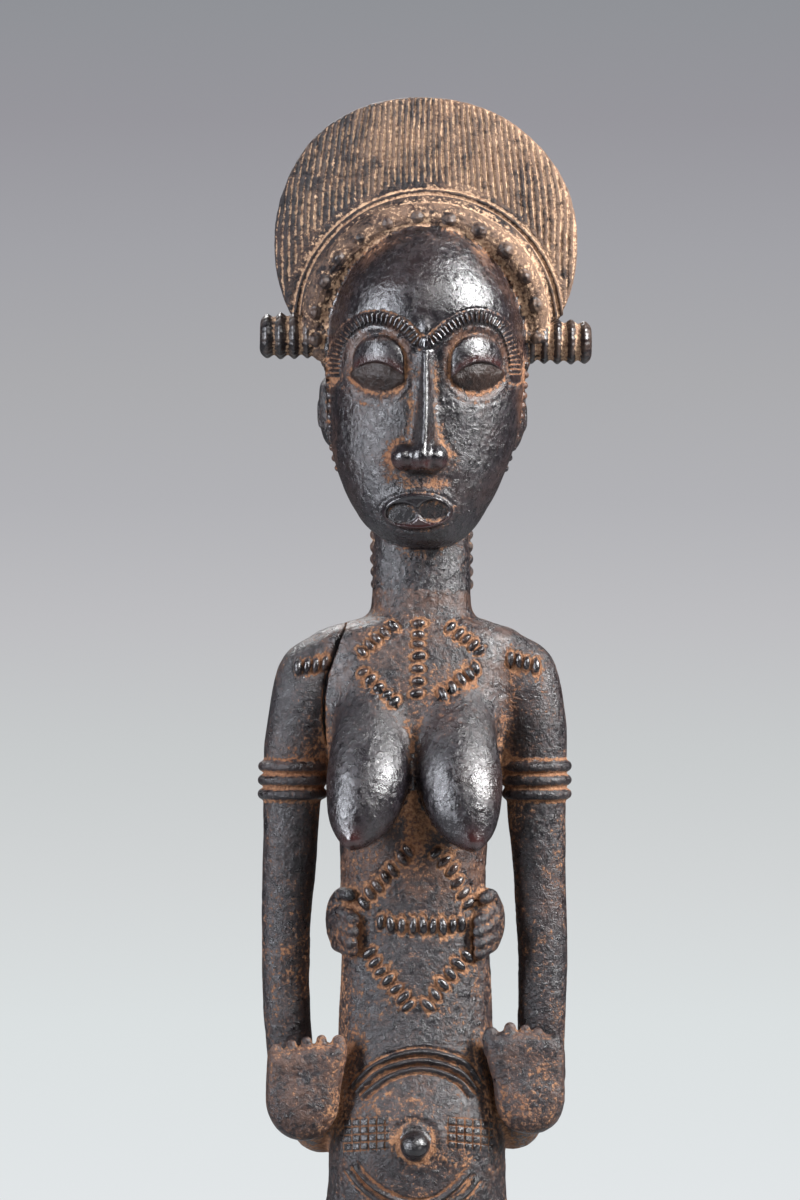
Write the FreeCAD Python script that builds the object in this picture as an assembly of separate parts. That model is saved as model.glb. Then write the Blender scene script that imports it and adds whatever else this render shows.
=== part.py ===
"""Carved standing mother figure with a child on the back, one block of dark hardwood.

Millimetres. +Z up, front faces -Y, the figure's own left is +X.
Origin: centre of the underside of the round plinth.
Every region of the carving is its own closed solid. Neighbours are trimmed
against each other, so they meet face to face and share no volume.
"""
import FreeCAD
import Part
import math
import os

V = FreeCAD.Vector

# ---------------------------------------------------------------- driving sizes
H_TOTAL = 520.0        # crest rim above the table
PLINTH_R = 57.0        # widest radius of the round plinth
PLINTH_H = 26.0
Z_HIP_BASE = 132.0     # legs end, hips begin
Z_BELLY = 170.0        # hips end, abdomen begins
Z_WAIST = 262.0        # abdomen ends, chest begins
Z_NECK = 354.6         # chest ends, neck begins
LEG_X = 17.0           # leg centre, each side
HEAD_X = 2.8           # the head stands this far towards the figure's left
CREST_R = 48.6         # radius of the fan-shaped crest
CREST_Z = H_TOTAL - CREST_R
CREST_Y = 7.5          # mid-plane of the crest
CREST_T = 13.0         # thickness of the crest at its middle
CREST_RIM = 4.5        # thickness of the crest at its rim
CREST_FOOT_Z = 446.0   # the crest stops here, above the hair tufts
BAND_R = 35.0          # hairline band: arch radius
BROW_T = 1.9           # how far the brows stand off the face
BAND_T = 4.6           # hairline band: section radius
ARM_TOP_Z = 347.0
ARM_BAND_Z = 295.4     # underside of the armlet, where the arm divides
ELBOW_Z = 202.0
ARMLET_R = 2.15        # section radius of one armlet ring
ARMLET_PITCH = 4.35
NAVEL_Z = 185.6
NAVEL_R = 5.2
CHILD_HAND_Z = 255.5

os.makedirs("parts", exist_ok=True)
NODES = {}


# ---------------------------------------------------------------- helpers
def ring(cx, cy, z, a, b, n=2.0, count=14):
    """Closed smooth section in a horizontal plane: half-widths a (X), b (Y)."""
    pts = []
    for i in range(count):
        t = 2 * math.pi * i / count
        c, s = math.cos(t), math.sin(t)
        pts.append(V(cx + a * math.copysign(abs(c) ** (2.0 / n), c),
                     cy + b * math.copysign(abs(s) ** (2.0 / n), s), z))
    c = Part.BSplineCurve()
    c.interpolate(pts, PeriodicFlag=True)
    return Part.Wire(c.toShape())


def ring3(p, u, v, a, b, count=12):
    """Closed smooth elliptical section about p in the plane of u and v."""
    pts = [p + u * (a * math.cos(2 * math.pi * i / count)) + v * (b * math.sin(2 * math.pi * i / count))
           for i in range(count)]
    c = Part.BSplineCurve()
    c.interpolate(pts, PeriodicFlag=True)
    return Part.Wire(c.toShape())


def loft_z(rows):
    """Loft of horizontal sections (z, cx, cy, a, b[, n])."""
    return Part.makeLoft([ring(r[1], r[2], r[0], r[3], r[4], *(r[5:6])) for r in rows], True, False)


def limb(path):
    """Loft along a path of (x, y, z, a, b): a lies nearest +X or +Z, b across."""
    pts = [V(*p[:3]) for p in path]
    wires = []
    u_last = None
    for i, p in enumerate(pts):
        t = (pts[min(i + 1, len(pts) - 1)] - pts[max(i - 1, 0)])
        t.normalize()
        if u_last is None:
            u = V(0, 0, 1).cross(t) if abs(t.z) < 0.8 else V(0, 1, 0).cross(t)
        else:
            u = u_last - t * u_last.dot(t)
        u.normalize()
        u_last = u
        w = t.cross(u)
        w.normalize()
        wires.append(ring3(p, u, w, path[i][3], path[i][4]))
    return Part.makeLoft(wires, True, False)


def egg(cx, cy, cz, rx, ry, rz, tilt=None):
    """Ellipsoid. tilt: list of (axis vector, degrees) turns about its centre."""
    s = Part.makeSphere(1.0)
    m = FreeCAD.Matrix()
    m.scale(rx, ry, rz)
    s = s.transformGeometry(m)
    for axis, deg in tilt or []:
        s.rotate(V(0, 0, 0), V(*axis), deg)
    s.translate(V(cx, cy, cz))
    return s


def mirror(shape, x=0.0):
    return shape.mirror(V(x, 0, 0), V(1, 0, 0))


def box(x0, x1, y0, y1, z0, z1):
    return Part.makeBox(x1 - x0, y1 - y0, z1 - z0, V(x0, y0, z0))


def solids_of(shape, least=2.0):
    found = [s for s in shape.Solids if abs(s.Volume) > least]
    for s in found:
        if s.Volume < 0:
            s.reverse()
    return found


def put(name, shape, *cutters, least=2.0, keep=None):
    """Trims shape by the named nodes and keeps it under that name."""
    for c in cutters:
        tool = NODES[c]
        for t in tool:
            if shape.BoundBox.intersect(t.BoundBox):
                shape = shape.cut(t)
    found = solids_of(shape, least)
    found.sort(key=lambda s: -s.Volume)
    if keep:
        found = found[:keep]
    if not found:
        raise RuntimeError(name + " has no solid left")
    for s in found:
        if not s.isValid():
            print("INVALID", name)
    NODES[name] = found
    return found


def both(name, shape, *cutters, x=0.0, least=2.0, keep=None):
    """shape is the figure's right-hand piece (-X). SIDE in a name becomes right or left."""
    for side in ("right", "left"):
        s = shape if side == "right" else mirror(shape, x)
        put(side + "_" + name, s, *[c.replace("SIDE", side) for c in cutters], least=least, keep=keep)


# ---------------------------------------------------------------- plinth
profile = [(0, 0), (PLINTH_R - 2.5, 0), (PLINTH_R, 2.5), (PLINTH_R - 0.4, 9.2), (PLINTH_R - 1.6, 10.2),
           (PLINTH_R - 0.6, 11.2), (PLINTH_R - 0.9, 15.0), (PLINTH_R - 2.1, 16.0), (PLINTH_R - 1.1, 17.0),
           (PLINTH_R - 1.8, PLINTH_H - 3.5), (PLINTH_R - 5.0, PLINTH_H), (0, PLINTH_H)]
pts = [V(r, 0, z) for r, z in profile]
face = Part.Face(Part.makePolygon(pts + [pts[0]]))
put("plinth", face.revolve(V(0, 0, 0), V(0, 0, 1), 360))

# ---------------------------------------------------------------- trunk
put("hips", loft_z([
    (Z_HIP_BASE, 0, 3.0, 29.5, 22.5, 2.3), (139, 0, 4.5, 32.0, 26.5, 2.2), (149, 0, 4.5, 32.0, 28.5, 2.1),
    (159, 0, 2.5, 29.6, 27.5), (Z_BELLY, 0, 0.0, 28.2, 26.0)]))
put("abdomen", loft_z([
    (Z_BELLY, 0, 0.0, 28.2, 26.0), (182, 0, -1.5, 28.0, 26.0), (194, 0, -1.2, 27.2, 24.4),
    (206, 0, -0.4, 25.6, 21.8), (221, -0.2, 0.3, 24.5, 19.8), (243, -0.4, 0.5, 23.8, 19.4),
    (Z_WAIST, -0.6, 0.3, 23.3, 19.4)]))
put("chest", loft_z([
    (Z_WAIST, -0.6, 0.3, 23.3, 19.4), (275, -0.6, 0.3, 23.6, 19.8), (294, -0.4, 0.3, 26.0, 20.6),
    (308, 0, 0.2, 28.4, 21.0), (324, 0, 0.5, 30.4, 20.8), (338, 0.3, 1.0, 30.4, 19.0),
    (347, 0.8, 1.6, 27.0, 17.2), (Z_NECK, 1.2, 3.0, 17.0, 15.8)]))

# ---------------------------------------------------------------- legs and feet
both("leg", loft_z([
    (PLINTH_H, -LEG_X, 4.0, 9.2, 10.5), (40, -LEG_X, 4.0, 8.8, 10.0), (52, -LEG_X, 5.0, 10.8, 12.4),
    (66, -LEG_X, 6.0, 13.0, 14.5), (80, -LEG_X, 3.0, 11.8, 12.8), (90, -LEG_X, 0.5, 11.2, 12.2),
    (104, -LEG_X, 1.0, 13.4, 15.0), (119, -LEG_X, 2.4, 14.6, 17.6), (Z_HIP_BASE, -LEG_X + 1, 3.0, 14.0, 18.5)]),
    "hips")
both("foot", egg(-LEG_X - 0.6, -12.0, PLINTH_H, 12.0, 25.0, 13.0).common(
    box(-60, 0, -60, 60, PLINTH_H, 60)), "SIDE_leg")

# ---------------------------------------------------------------- head, neck, hair
HEAD_ROWS = [
    (374.9, HEAD_X - 0.6, -19.0, 4.0, 5.0), (377.6, HEAD_X - 0.7, -17.5, 10.4, 10.5), (381.4, HEAD_X - 1.2, -14.8, 15.6, 15.0),
    (387.2, HEAD_X - 1.8, -11.4, 20.9, 19.4), (392.0, HEAD_X - 1.7, -9.4, 23.8, 22.4), (399.0, HEAD_X - 1.5, -7.0, 26.6, 25.8),
    (408.0, HEAD_X - 1.0, -4.6, 29.4, 29.4), (422.4, HEAD_X, -2.2, 31.2, 33.0), (435.2, HEAD_X, -0.8, 32.0, 35.2),
    (446.0, HEAD_X, 0.0, 31.3, 35.4), (454.4, HEAD_X, 0.8, 29.2, 33.6), (461.0, HEAD_X, 1.4, 26.4, 30.8),
    (467.5, HEAD_X, 2.4, 21.6, 26.0), (473.6, HEAD_X, 3.6, 15.0, 19.0), (477.8, HEAD_X, 4.8, 7.0, 9.6)]
put("head", loft_z(HEAD_ROWS))


def face_y(x, z):
    """Depth of the front of the head at x, z."""
    for lo, hi in zip(HEAD_ROWS, HEAD_ROWS[1:]):
        if lo[0] <= z <= hi[0]:
            f = (z - lo[0]) / (hi[0] - lo[0])
            cx, cy, a, b = [p + (q - p) * f for p, q in zip(lo[1:], hi[1:])]
            return cy - b * math.sqrt(max(0.0, 1.0 - ((x - cx) / a) ** 2))
    return 0.0


put("neck", loft_z([
    (Z_NECK, 1.2, 3.0, 16.0, 15.2), (360, 1.3, 3.4, 15.7, 14.8), (368, 1.4, 3.9, 15.4, 14.4),
    (378, 1.5, 4.4, 14.9, 13.8), (390, 1.7, 4.8, 14.6, 13.8), (402, 1.9, 4.6, 14.6, 14.2)]), "head", keep=1)
put("hair_cap", egg(HEAD_X, 6.5, 446.0, 34.5, 34.5, 38.5).cut(
    box(-80, 80, -80, -4.0, 350, 560)), "head", "neck", keep=1)

# fan crest: a lens turned about Y, standing across the head
half = [(0, -CREST_T / 2), (CREST_R * 0.5, -CREST_T / 2 + 1.0), (CREST_R * 0.85, -CREST_RIM / 2 - 1.0),
        (CREST_R - 1.2, -CREST_RIM / 2), (CREST_R, -CREST_RIM / 2 + 1.2), (CREST_R, CREST_RIM / 2 - 1.2),
        (CREST_R - 1.2, CREST_RIM / 2), (CREST_R * 0.85, CREST_RIM / 2 + 1.0),
        (CREST_R * 0.5, CREST_T / 2 - 1.0), (0, CREST_T / 2)]
pts = [V(r, y, 0) for r, y in half]
fan = Part.Face(Part.makePolygon(pts + [pts[0]])).revolve(V(0, 0, 0), V(0, 1, 0), 360)
fan.translate(V(HEAD_X, CREST_Y, CREST_Z))
fan = fan.cut(box(-90, 90, -90, 90, 380, CREST_FOOT_Z))
put("coiffure_crest", fan, "head", "hair_cap", keep=1)

band = Part.makeTorus(BAND_R, BAND_T, V(0, 0, 0), V(0, 1, 0))
band.rotate(V(0, 0, 0), V(1, 0, 0), 16)
band.translate(V(HEAD_X, -6.5, 446.5))
band = band.cut(box(-90, 90, -90, 90, 380, 450.0))
put("hairline_band", band, "head", "hair_cap", "coiffure_crest", keep=1)

# side tufts: four rings on a stub, turned about an axis along X
tuft = [(0, 0), (0, 7.0), (3.2, 6.9), (4.2, 7.6), (6.6, 8.0), (8.4, 7.2), (9.4, 7.8), (11.6, 7.9), (13.2, 6.9),
        (14.2, 7.5), (16.4, 7.3), (17.8, 6.3), (18.6, 6.8), (20.8, 6.6), (22.6, 5.2), (23.2, 0)]
TUFT_X = HEAD_X - 53.2
pts = [V(TUFT_X + 23.2 - x, 0, r) for x, r in tuft]
stub = Part.Face(Part.makePolygon(pts + [pts[0]])).revolve(V(TUFT_X, 0, 0), V(1, 0, 0), 360)
stub.translate(V(0, -2.0, 442.4))
both("hair_tuft", stub, "head", "hair_cap", "hairline_band", "coiffure_crest", x=HEAD_X, keep=1)

both("ear", egg(HEAD_X - 30.6, 2.0, 418.5, 3.6, 8.0, 12.5, [((0, 1, 0), 6)]),
     "head", "hair_cap", "SIDE_hair_tuft", x=HEAD_X, keep=1)
bridge = Part.makeLoft([ring(HEAD_X, -31.0, 442.0, 1.8, 5.4), ring(HEAD_X - 0.2, -31.6, 424.0, 3.0, 9.4),
                        ring(HEAD_X - 1.0, -31.0, 400.0, 5.6, 14.6)], True, True)
nostrils = egg(HEAD_X - 1.2, -34.8, 402.6, 9.3, 9.6, 6.0)
put("nose", bridge.fuse(nostrils).cut(box(-40, 40, -80, 0, 380, 399.0)), "head", keep=1)


def arch(cx, cz, rx, rz, w, a0, a1, y0, y1, n=12):
    """Arched bar in the XZ plane, w wide, pushed through from y0 to y1."""
    out, inn = [], []
    for i in range(n + 1):
        t = math.radians(a0 + (a1 - a0) * i / n)
        c, s = math.cos(t), math.sin(t)
        out.append(V(cx + (rx + w / 2) * c, y0, cz + (rz + w / 2) * s))
        inn.append(V(cx + (rx - w / 2) * c, y0, cz + (rz - w / 2) * s))
    co = Part.BSplineCurve()
    co.interpolate(out)
    ci = Part.BSplineCurve()
    ci.interpolate(inn[::-1])
    edges = [co.toShape(), Part.makeLine(out[-1], inn[-1]), ci.toShape(), Part.makeLine(inn[0], out[0])]
    return Part.Face(Part.Wire(edges)).extrude(V(0, y1 - y0, 0))


grown_head = loft_z([(r[0], r[1], r[2], r[3] + BROW_T, r[4] + BROW_T) for r in HEAD_ROWS])
brow = arch(HEAD_X - 15.0, 433.0, 13.0, 15.2, 4.2, 4, 202, -60, -14).common(grown_head)
both("brow", brow, "head", "nose", x=HEAD_X, keep=1)
both("eyelid", egg(HEAD_X - 14.6, face_y(HEAD_X - 14.6, 434.0) + 1.6, 434.0, 8.4, 5.4, 9.2, [((0, 0, 1), -26)]),
     "head", "nose", "SIDE_brow", x=HEAD_X, keep=1)
put("lips", egg(0.6, -26.6, 386.9, 10.2, 8.0, 5.4), "head", keep=1)
both("nape_braid", limb([(-13.6, 9.5, 363.0, 2.6, 2.6), (-14.2, 10.5, 372.0, 3.0, 3.0), (-14.2, 11.5, 381.0, 3.0, 3.0),
                         (-13.6, 12.5, 390.0, 2.8, 2.8)]), "neck", "head", "hair_cap", x=1.5, keep=1)

# ---------------------------------------------------------------- front of the trunk
both("breast", egg(-16.9, -22.5, 302.5, 13.3, 13.0, 24.5, [((1, 0, 0), -27), ((0, 1, 0), 6)]), "chest", "abdomen", keep=1)
put("navel", egg(0, -27.0, NAVEL_Z, NAVEL_R, 7.5, NAVEL_R), "abdomen", keep=1)

# ---------------------------------------------------------------- child on the back
FOOT = [(-46.6, 213.5), (-46.8, 206), (-46.4, 197.5), (-43.0, 189.8), (-37.4, 186.0), (-31.2, 187.4), (-27.4, 193.5),
        (-24.6, 203.0), (-22.9, 213.0), (-23.2, 217.4), (-28.0, 218.4), (-35.0, 217.6), (-42.0, 216.0)]
curve = Part.BSplineCurve()
curve.interpolate([V(x, -23.0, z) for x, z in FOOT], PeriodicFlag=True)
sole = Part.Face(Part.Wire(curve.toShape())).extrude(V(0, 9.0, 0))
for tx, tz, tr in ((-25.4, 217.2, 3.1), (-30.6, 217.8, 2.5), (-35.4, 217.4, 2.3), (-39.8, 216.4, 2.2), (-44.2, 215.0, 2.3)):
    sole = sole.fuse(egg(tx, -19.0, tz, tr, 4.2, tr * 1.25))
both("child_foot", sole, "abdomen", keep=1)
put("child_torso", loft_z([
    (207.5, 0, 33.0, 11.0, 8.5), (214, 0, 33.0, 16.0, 13.5), (224, 0, 32.0, 17.0, 14.8), (238, 0, 30.0, 14.4, 12.8),
    (252, 0, 29.6, 15.2, 12.6), (262, 0, 29.6, 15.4, 11.8), (268, 0, 30.0, 10.0, 8.6), (271.5, 0, 30.6, 7.4, 7.4)]),
    "abdomen", "chest", keep=1)
put("child_head", egg(0, 34.6, 288.5, 13.4, 15.4, 18.6), "child_torso", "chest", keep=1)
both("child_leg", limb([(-34.4, -14.0, 203.0, 8.4, 9.8), (-34.0, -4.0, 203.6, 7.6, 9.6), (-32.6, 8.0, 204.6, 8.0, 9.6),
                        (-29.0, 22.0, 207.6, 8.6, 9.8), (-20.0, 33.0, 212.0, 9.0, 10.0), (-12.0, 36.0, 215.0, 8.6, 9.4)]),
     "abdomen", "hips", "SIDE_child_foot", "child_torso", keep=1)
both("child_arm", limb([(-11.0, 30.0, 261.0, 5.4, 5.6), (-18.0, 26.5, 260.0, 5.2, 5.4), (-24.0, 18.0, 258.0, 4.8, 5.0),
                        (-27.0, 8.0, 256.4, 4.4, 4.8), (-27.2, 0.0, 255.6, 4.2, 4.8)]),
     "abdomen", "chest", "child_torso", keep=1)
both("child_hand", egg(-23.4, -5.2, CHILD_HAND_Z, 5.4, 8.6, 10.6, [((0, 0, 1), 24)]),
     "abdomen", "chest", "SIDE_child_arm", keep=1)

# ---------------------------------------------------------------- mother's arms
arm = [(ARM_TOP_Z, -29.0, 1.0, 5.0, 6.0), (343.0, -31.6, 0.8, 9.4, 9.6), (336.0, -34.8, 0.5, 12.0, 11.6),
       (324.0, -37.6, 0.3, 11.2, 11.6), (310.0, -38.8, 0.0, 9.9, 10.2), (ARM_BAND_Z, -39.4, 0.0, 9.4, 9.9)]
both("upper_arm", loft_z(arm), "chest", "SIDE_breast", keep=1)
lower = [(-39.4, 0.0, ARM_BAND_Z), (-40.6, 0.0, 275.0), (-41.6, 0.0, 252.0), (-41.4, 0.0, 230.0)]
sizes = [(9.4, 9.9), (8.6, 9.4), (7.6, 9.0), (7.3, 9.2)]
both("lower_arm", loft_z([(p[2], p[0], p[1], s[0], s[1]) for p, s in zip(lower, sizes)]
                         + [(215.0, -40.6, 0.8, 7.2, 10.0), (204.0, -40.0, 3.0, 6.8, 11.0), (198.0, -39.6, 5.5, 4.0, 7.0)]),
     "SIDE_child_foot", "SIDE_child_leg", "abdomen", keep=1)
rows = []
for k in range(3):
    zc = 297.6 + k * ARMLET_PITCH
    for i in range(7):
        t = math.radians(-90 + 180.0 * i / 6)
        rows.append((10.6 + 0.9 * math.cos(t), zc + ARMLET_R * math.sin(t)))
rows = [(6.0, rows[0][1])] + rows + [(6.0, rows[-1][1])]
pts = [V(r, 0, z) for r, z in rows]
rings = Part.Face(Part.makePolygon(pts + [pts[0]])).revolve(V(0, 0, 0), V(0, 0, 1), 360)
rings.translate(V(-39.0, 0, 0))
both("armlet", rings, "SIDE_upper_arm", "SIDE_lower_arm", "chest", "SIDE_breast", keep=1)
both("forearm", limb([(-40.0, 9.0, 205.0, 6.6, 7.6), (-38.4, 20.0, 201.6, 6.4, 7.4), (-34.0, 31.0, 199.6, 6.0, 7.0),
                      (-26.0, 40.0, 199.0, 5.2, 7.0), (-19.0, 44.0, 200.0, 4.4, 7.0)]),
     "SIDE_lower_arm", "SIDE_child_leg", "child_torso", "abdomen", "hips", keep=1)
both("hand", limb([(-20.0, 44.0, 200.0, 4.2, 7.0), (-14.0, 46.6, 203.0, 4.0, 9.0), (-7.0, 47.6, 207.0, 3.6, 9.0),
                   (-2.2, 47.6, 210.0, 2.6, 7.0)]),
     "SIDE_forearm", "SIDE_child_leg", "child_torso", "abdomen", "hips", keep=1)

# ---------------------------------------------------------------- write
total = 0.0
lo, hi = V(1e9, 1e9, 1e9), V(-1e9, -1e9, -1e9)
for name, found in NODES.items():
    shape = found[0] if len(found) == 1 else Part.makeCompound(found)
    shape.exportStep("parts/" + name + ".step")
    total += sum(s.Volume for s in found)
    b = shape.BoundBox
    lo = V(min(lo.x, b.XMin), min(lo.y, b.YMin), min(lo.z, b.ZMin))
    hi = V(max(hi.x, b.XMax), max(hi.y, b.YMax), max(hi.z, b.ZMax))
print("nodes", len(NODES), "volume cm3", round(total / 1000, 1), "box", lo, hi)
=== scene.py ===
import math
import time

import bpy
import numpy as np
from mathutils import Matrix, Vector


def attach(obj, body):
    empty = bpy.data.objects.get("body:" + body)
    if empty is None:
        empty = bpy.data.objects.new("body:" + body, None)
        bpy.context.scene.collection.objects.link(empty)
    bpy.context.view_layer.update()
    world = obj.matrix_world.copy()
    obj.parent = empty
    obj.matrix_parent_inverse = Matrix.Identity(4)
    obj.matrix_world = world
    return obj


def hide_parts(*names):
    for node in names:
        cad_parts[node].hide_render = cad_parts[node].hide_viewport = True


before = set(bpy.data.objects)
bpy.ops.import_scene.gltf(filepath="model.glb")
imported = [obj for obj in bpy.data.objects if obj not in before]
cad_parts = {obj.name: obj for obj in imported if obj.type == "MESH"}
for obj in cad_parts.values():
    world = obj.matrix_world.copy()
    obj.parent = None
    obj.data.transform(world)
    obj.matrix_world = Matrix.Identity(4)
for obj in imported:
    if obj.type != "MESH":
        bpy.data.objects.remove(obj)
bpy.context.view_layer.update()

T0 = time.time()
F = np.float32

# ------------------------------------------------------------------ viewpoint
CAM = np.array([-5.44, -1800.0, 358.4])     # the viewpoint, mm


def flat(x, y, z):
    """Where a point is seen from the viewpoint, on the plane y = 0."""
    t = -CAM[1] / (y - CAM[1])
    return CAM[0] + (x - CAM[0]) * t, CAM[2] + (z - CAM[2]) * t


def deep(xf, y, zf):
    """The point at depth y that is seen at xf, zf on the plane y = 0."""
    t = (y - CAM[1]) / -CAM[1]
    return (CAM[0] + (xf - CAM[0]) * t, y, CAM[2] + (zf - CAM[2]) * t)


# ------------------------------------------------------------------ small maths
def pchip(x, y, xx):
    h = np.diff(x)
    s = np.diff(y) / h
    m = np.zeros(len(x))
    if len(x) == 2:
        m[:] = s[0]
    else:
        for i in range(1, len(x) - 1):
            if s[i - 1] * s[i] > 0:
                w1, w2 = 2 * h[i] + h[i - 1], h[i] + 2 * h[i - 1]
                m[i] = (w1 + w2) / (w1 / s[i - 1] + w2 / s[i])
        m[0], m[-1] = s[0], s[-1]
    i = np.clip(np.searchsorted(x, xx) - 1, 0, len(x) - 2)
    t = (xx - x[i]) / h[i]
    return ((1 + 2 * t) * (1 - t) ** 2 * y[i] + t * (1 - t) ** 2 * h[i] * m[i]
            + t * t * (3 - 2 * t) * y[i + 1] + t * t * (t - 1) * h[i] * m[i + 1])


def table(rows, n=500):
    r = np.array(sorted(rows), float)
    zz = np.linspace(r[0, 0], r[-1, 0], n)
    return np.array([zz] + [pchip(r[:, 0], r[:, c], zz) for c in range(1, r.shape[1])])


def smin(a, b, k):
    if k <= 0:
        return np.minimum(a, b)
    h = np.maximum(k - np.abs(a - b), 0) / k
    return np.minimum(a, b) - h * h * (k * 0.25)


def smax(a, b, k):
    return -smin(-a, -b, k)


def sstep(a, b, x):
    t = np.clip((x - a) / (b - a), 0, 1)
    return t * t * (3 - 2 * t)


def gauss(d, w):
    return np.exp(-(d / w) ** 2)


def hash3(i, j, k, seed):
    n = (i * 374761393 + j * 668265263 + k * 2147483647 + seed * 974634777) & 0xFFFFFFFF
    n = ((n ^ (n >> 13)) * 1274126177) & 0xFFFFFFFF
    return ((n ^ (n >> 16)) & 0xFFFF).astype(F) / 65535.0


def noise(x, y, z, scale, seed=0):
    """Smooth value noise, about -1 to 1, features about scale mm across."""
    x, y, z = x / scale, y / scale, z / scale
    i, j, k = np.floor(x).astype(np.int64), np.floor(y).astype(np.int64), np.floor(z).astype(np.int64)
    fx, fy, fz = x - i, y - j, z - k
    fx, fy, fz = fx * fx * (3 - 2 * fx), fy * fy * (3 - 2 * fy), fz * fz * (3 - 2 * fz)
    out = 0
    for a in (0, 1):
        for b in (0, 1):
            for c in (0, 1):
                w = (fx if a else 1 - fx) * (fy if b else 1 - fy) * (fz if c else 1 - fz)
                out = out + w * hash3(i + a, j + b, k + c, seed)
    return out * 2 - 1


# ------------------------------------------------------------------ solids
SOLIDS = []          # (name, function, low, high, blend radius, sign)


def add(name, fn, lo, hi, k=3.0, sign=1):
    SOLIDS.append((name, fn, np.array(lo, float), np.array(hi, float), k, sign))


def loft(rows, n=2.0, cap=2.0):
    """Stack of horizontal sections (z, cx, front y, back y, a); the widest line is at the middle."""
    t = table(rows)

    def fn(x, y, z):
        zc = np.clip(z, t[0, 0], t[0, -1])
        cx, yf, yb, a = (np.interp(zc, t[0], t[i]).astype(F) for i in (1, 2, 3, 4))
        cy, b = (yf + yb) * 0.5, (yb - yf) * 0.5
        u, v = np.abs(x - cx) / a, np.abs(y - cy) / b
        if n == 2.0:
            q = np.sqrt(u * u + v * v) + 1e-4
            g = np.sqrt((u / a) ** 2 + (v / b) ** 2) / q
        else:
            q = (u ** n + v ** n) ** (1.0 / n) + 1e-4
            g = np.sqrt((u ** (n - 1) / a) ** 2 + (v ** (n - 1) / b) ** 2) / q ** (n - 1)
        d = np.maximum((q - 1) / np.maximum(g, 1e-3), -25)
        return smax(d, np.maximum(t[0, 0] - z, z - t[0, -1]), cap)
    lo = (np.min(t[1] - t[4]), np.min(t[2]), t[0, 0])
    hi = (np.max(t[1] + t[4]), np.max(t[3]), t[0, -1])
    return fn, lo, hi


def turn(axis, deg):
    c, s = math.cos(math.radians(deg)), math.sin(math.radians(deg))
    return {"x": np.array([[1, 0, 0], [0, c, -s], [0, s, c]]), "y": np.array([[c, 0, s], [0, 1, 0], [-s, 0, c]]),
            "z": np.array([[c, -s, 0], [s, c, 0], [0, 0, 1]])}[axis]


def egg(c, r, *turns):
    m = np.eye(3)
    for axis, deg in turns:
        m = turn(axis, deg) @ m
    inv = m.T

    def fn(x, y, z):
        px, py, pz = x - c[0], y - c[1], z - c[2]
        q = [inv[i, 0] * px + inv[i, 1] * py + inv[i, 2] * pz for i in range(3)]
        k0 = np.sqrt((q[0] / r[0]) ** 2 + (q[1] / r[1]) ** 2 + (q[2] / r[2]) ** 2) + 1e-4
        k1 = np.sqrt((q[0] / r[0] ** 2) ** 2 + (q[1] / r[1] ** 2) ** 2 + (q[2] / r[2] ** 2) ** 2) + 1e-4
        return k0 * (k0 - 1) / k1
    e = np.sqrt(((m * np.array(r)) ** 2).sum(1))
    return fn, np.array(c) - e, np.array(c) + e


def spline(pts, n):
    """Smooth path through (x, y, z, r) points, as n + 1 samples."""
    p = np.array(pts, float)
    s = np.r_[0, np.cumsum(np.linalg.norm(np.diff(p[:, :3], axis=0), axis=1))]
    ss = np.linspace(0, s[-1], n + 1)
    q = np.array([catmull(s, p[:, i], ss) for i in range(p.shape[1])]).T
    return q


def catmull(x, y, xx):
    m = np.gradient(y, x) if len(x) > 2 else np.full(len(x), (y[1] - y[0]) / (x[1] - x[0]))
    h = np.diff(x)
    i = np.clip(np.searchsorted(x, xx) - 1, 0, len(x) - 2)
    t = (xx - x[i]) / h[i]
    return ((1 + 2 * t) * (1 - t) ** 2 * y[i] + t * (1 - t) ** 2 * h[i] * m[i]
            + t * t * (3 - 2 * t) * y[i + 1] + t * t * (t - 1) * h[i] * m[i + 1])


def tube(pts, n=10, squash=None):
    """Round-ended limb along a smooth path of (x, y, z, r). squash: (axis index, factor) flattens it."""
    p = spline(pts, n) if n else np.array(pts, float)
    sc = np.ones(3)
    if squash:
        sc[squash[0]] = squash[1]

    def fn(x, y, z):
        d = None
        for a, b in zip(p, p[1:]):
            e = (b[:3] - a[:3]) * sc
            px, py, pz = (x - a[0]) * sc[0], (y - a[1]) * sc[1], (z - a[2]) * sc[2]
            t = np.clip((px * e[0] + py * e[1] + pz * e[2]) / (e @ e), 0, 1)
            s = np.sqrt((px - t * e[0]) ** 2 + (py - t * e[1]) ** 2 + (pz - t * e[2]) ** 2) - (a[3] + t * (b[3] - a[3]))
            d = s if d is None else np.minimum(d, s)
        return d / max(1.0, sc.max())
    r = p[:, 3:4] / sc
    return fn, (p[:, :3] - r).min(0), (p[:, :3] + r).max(0)


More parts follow.
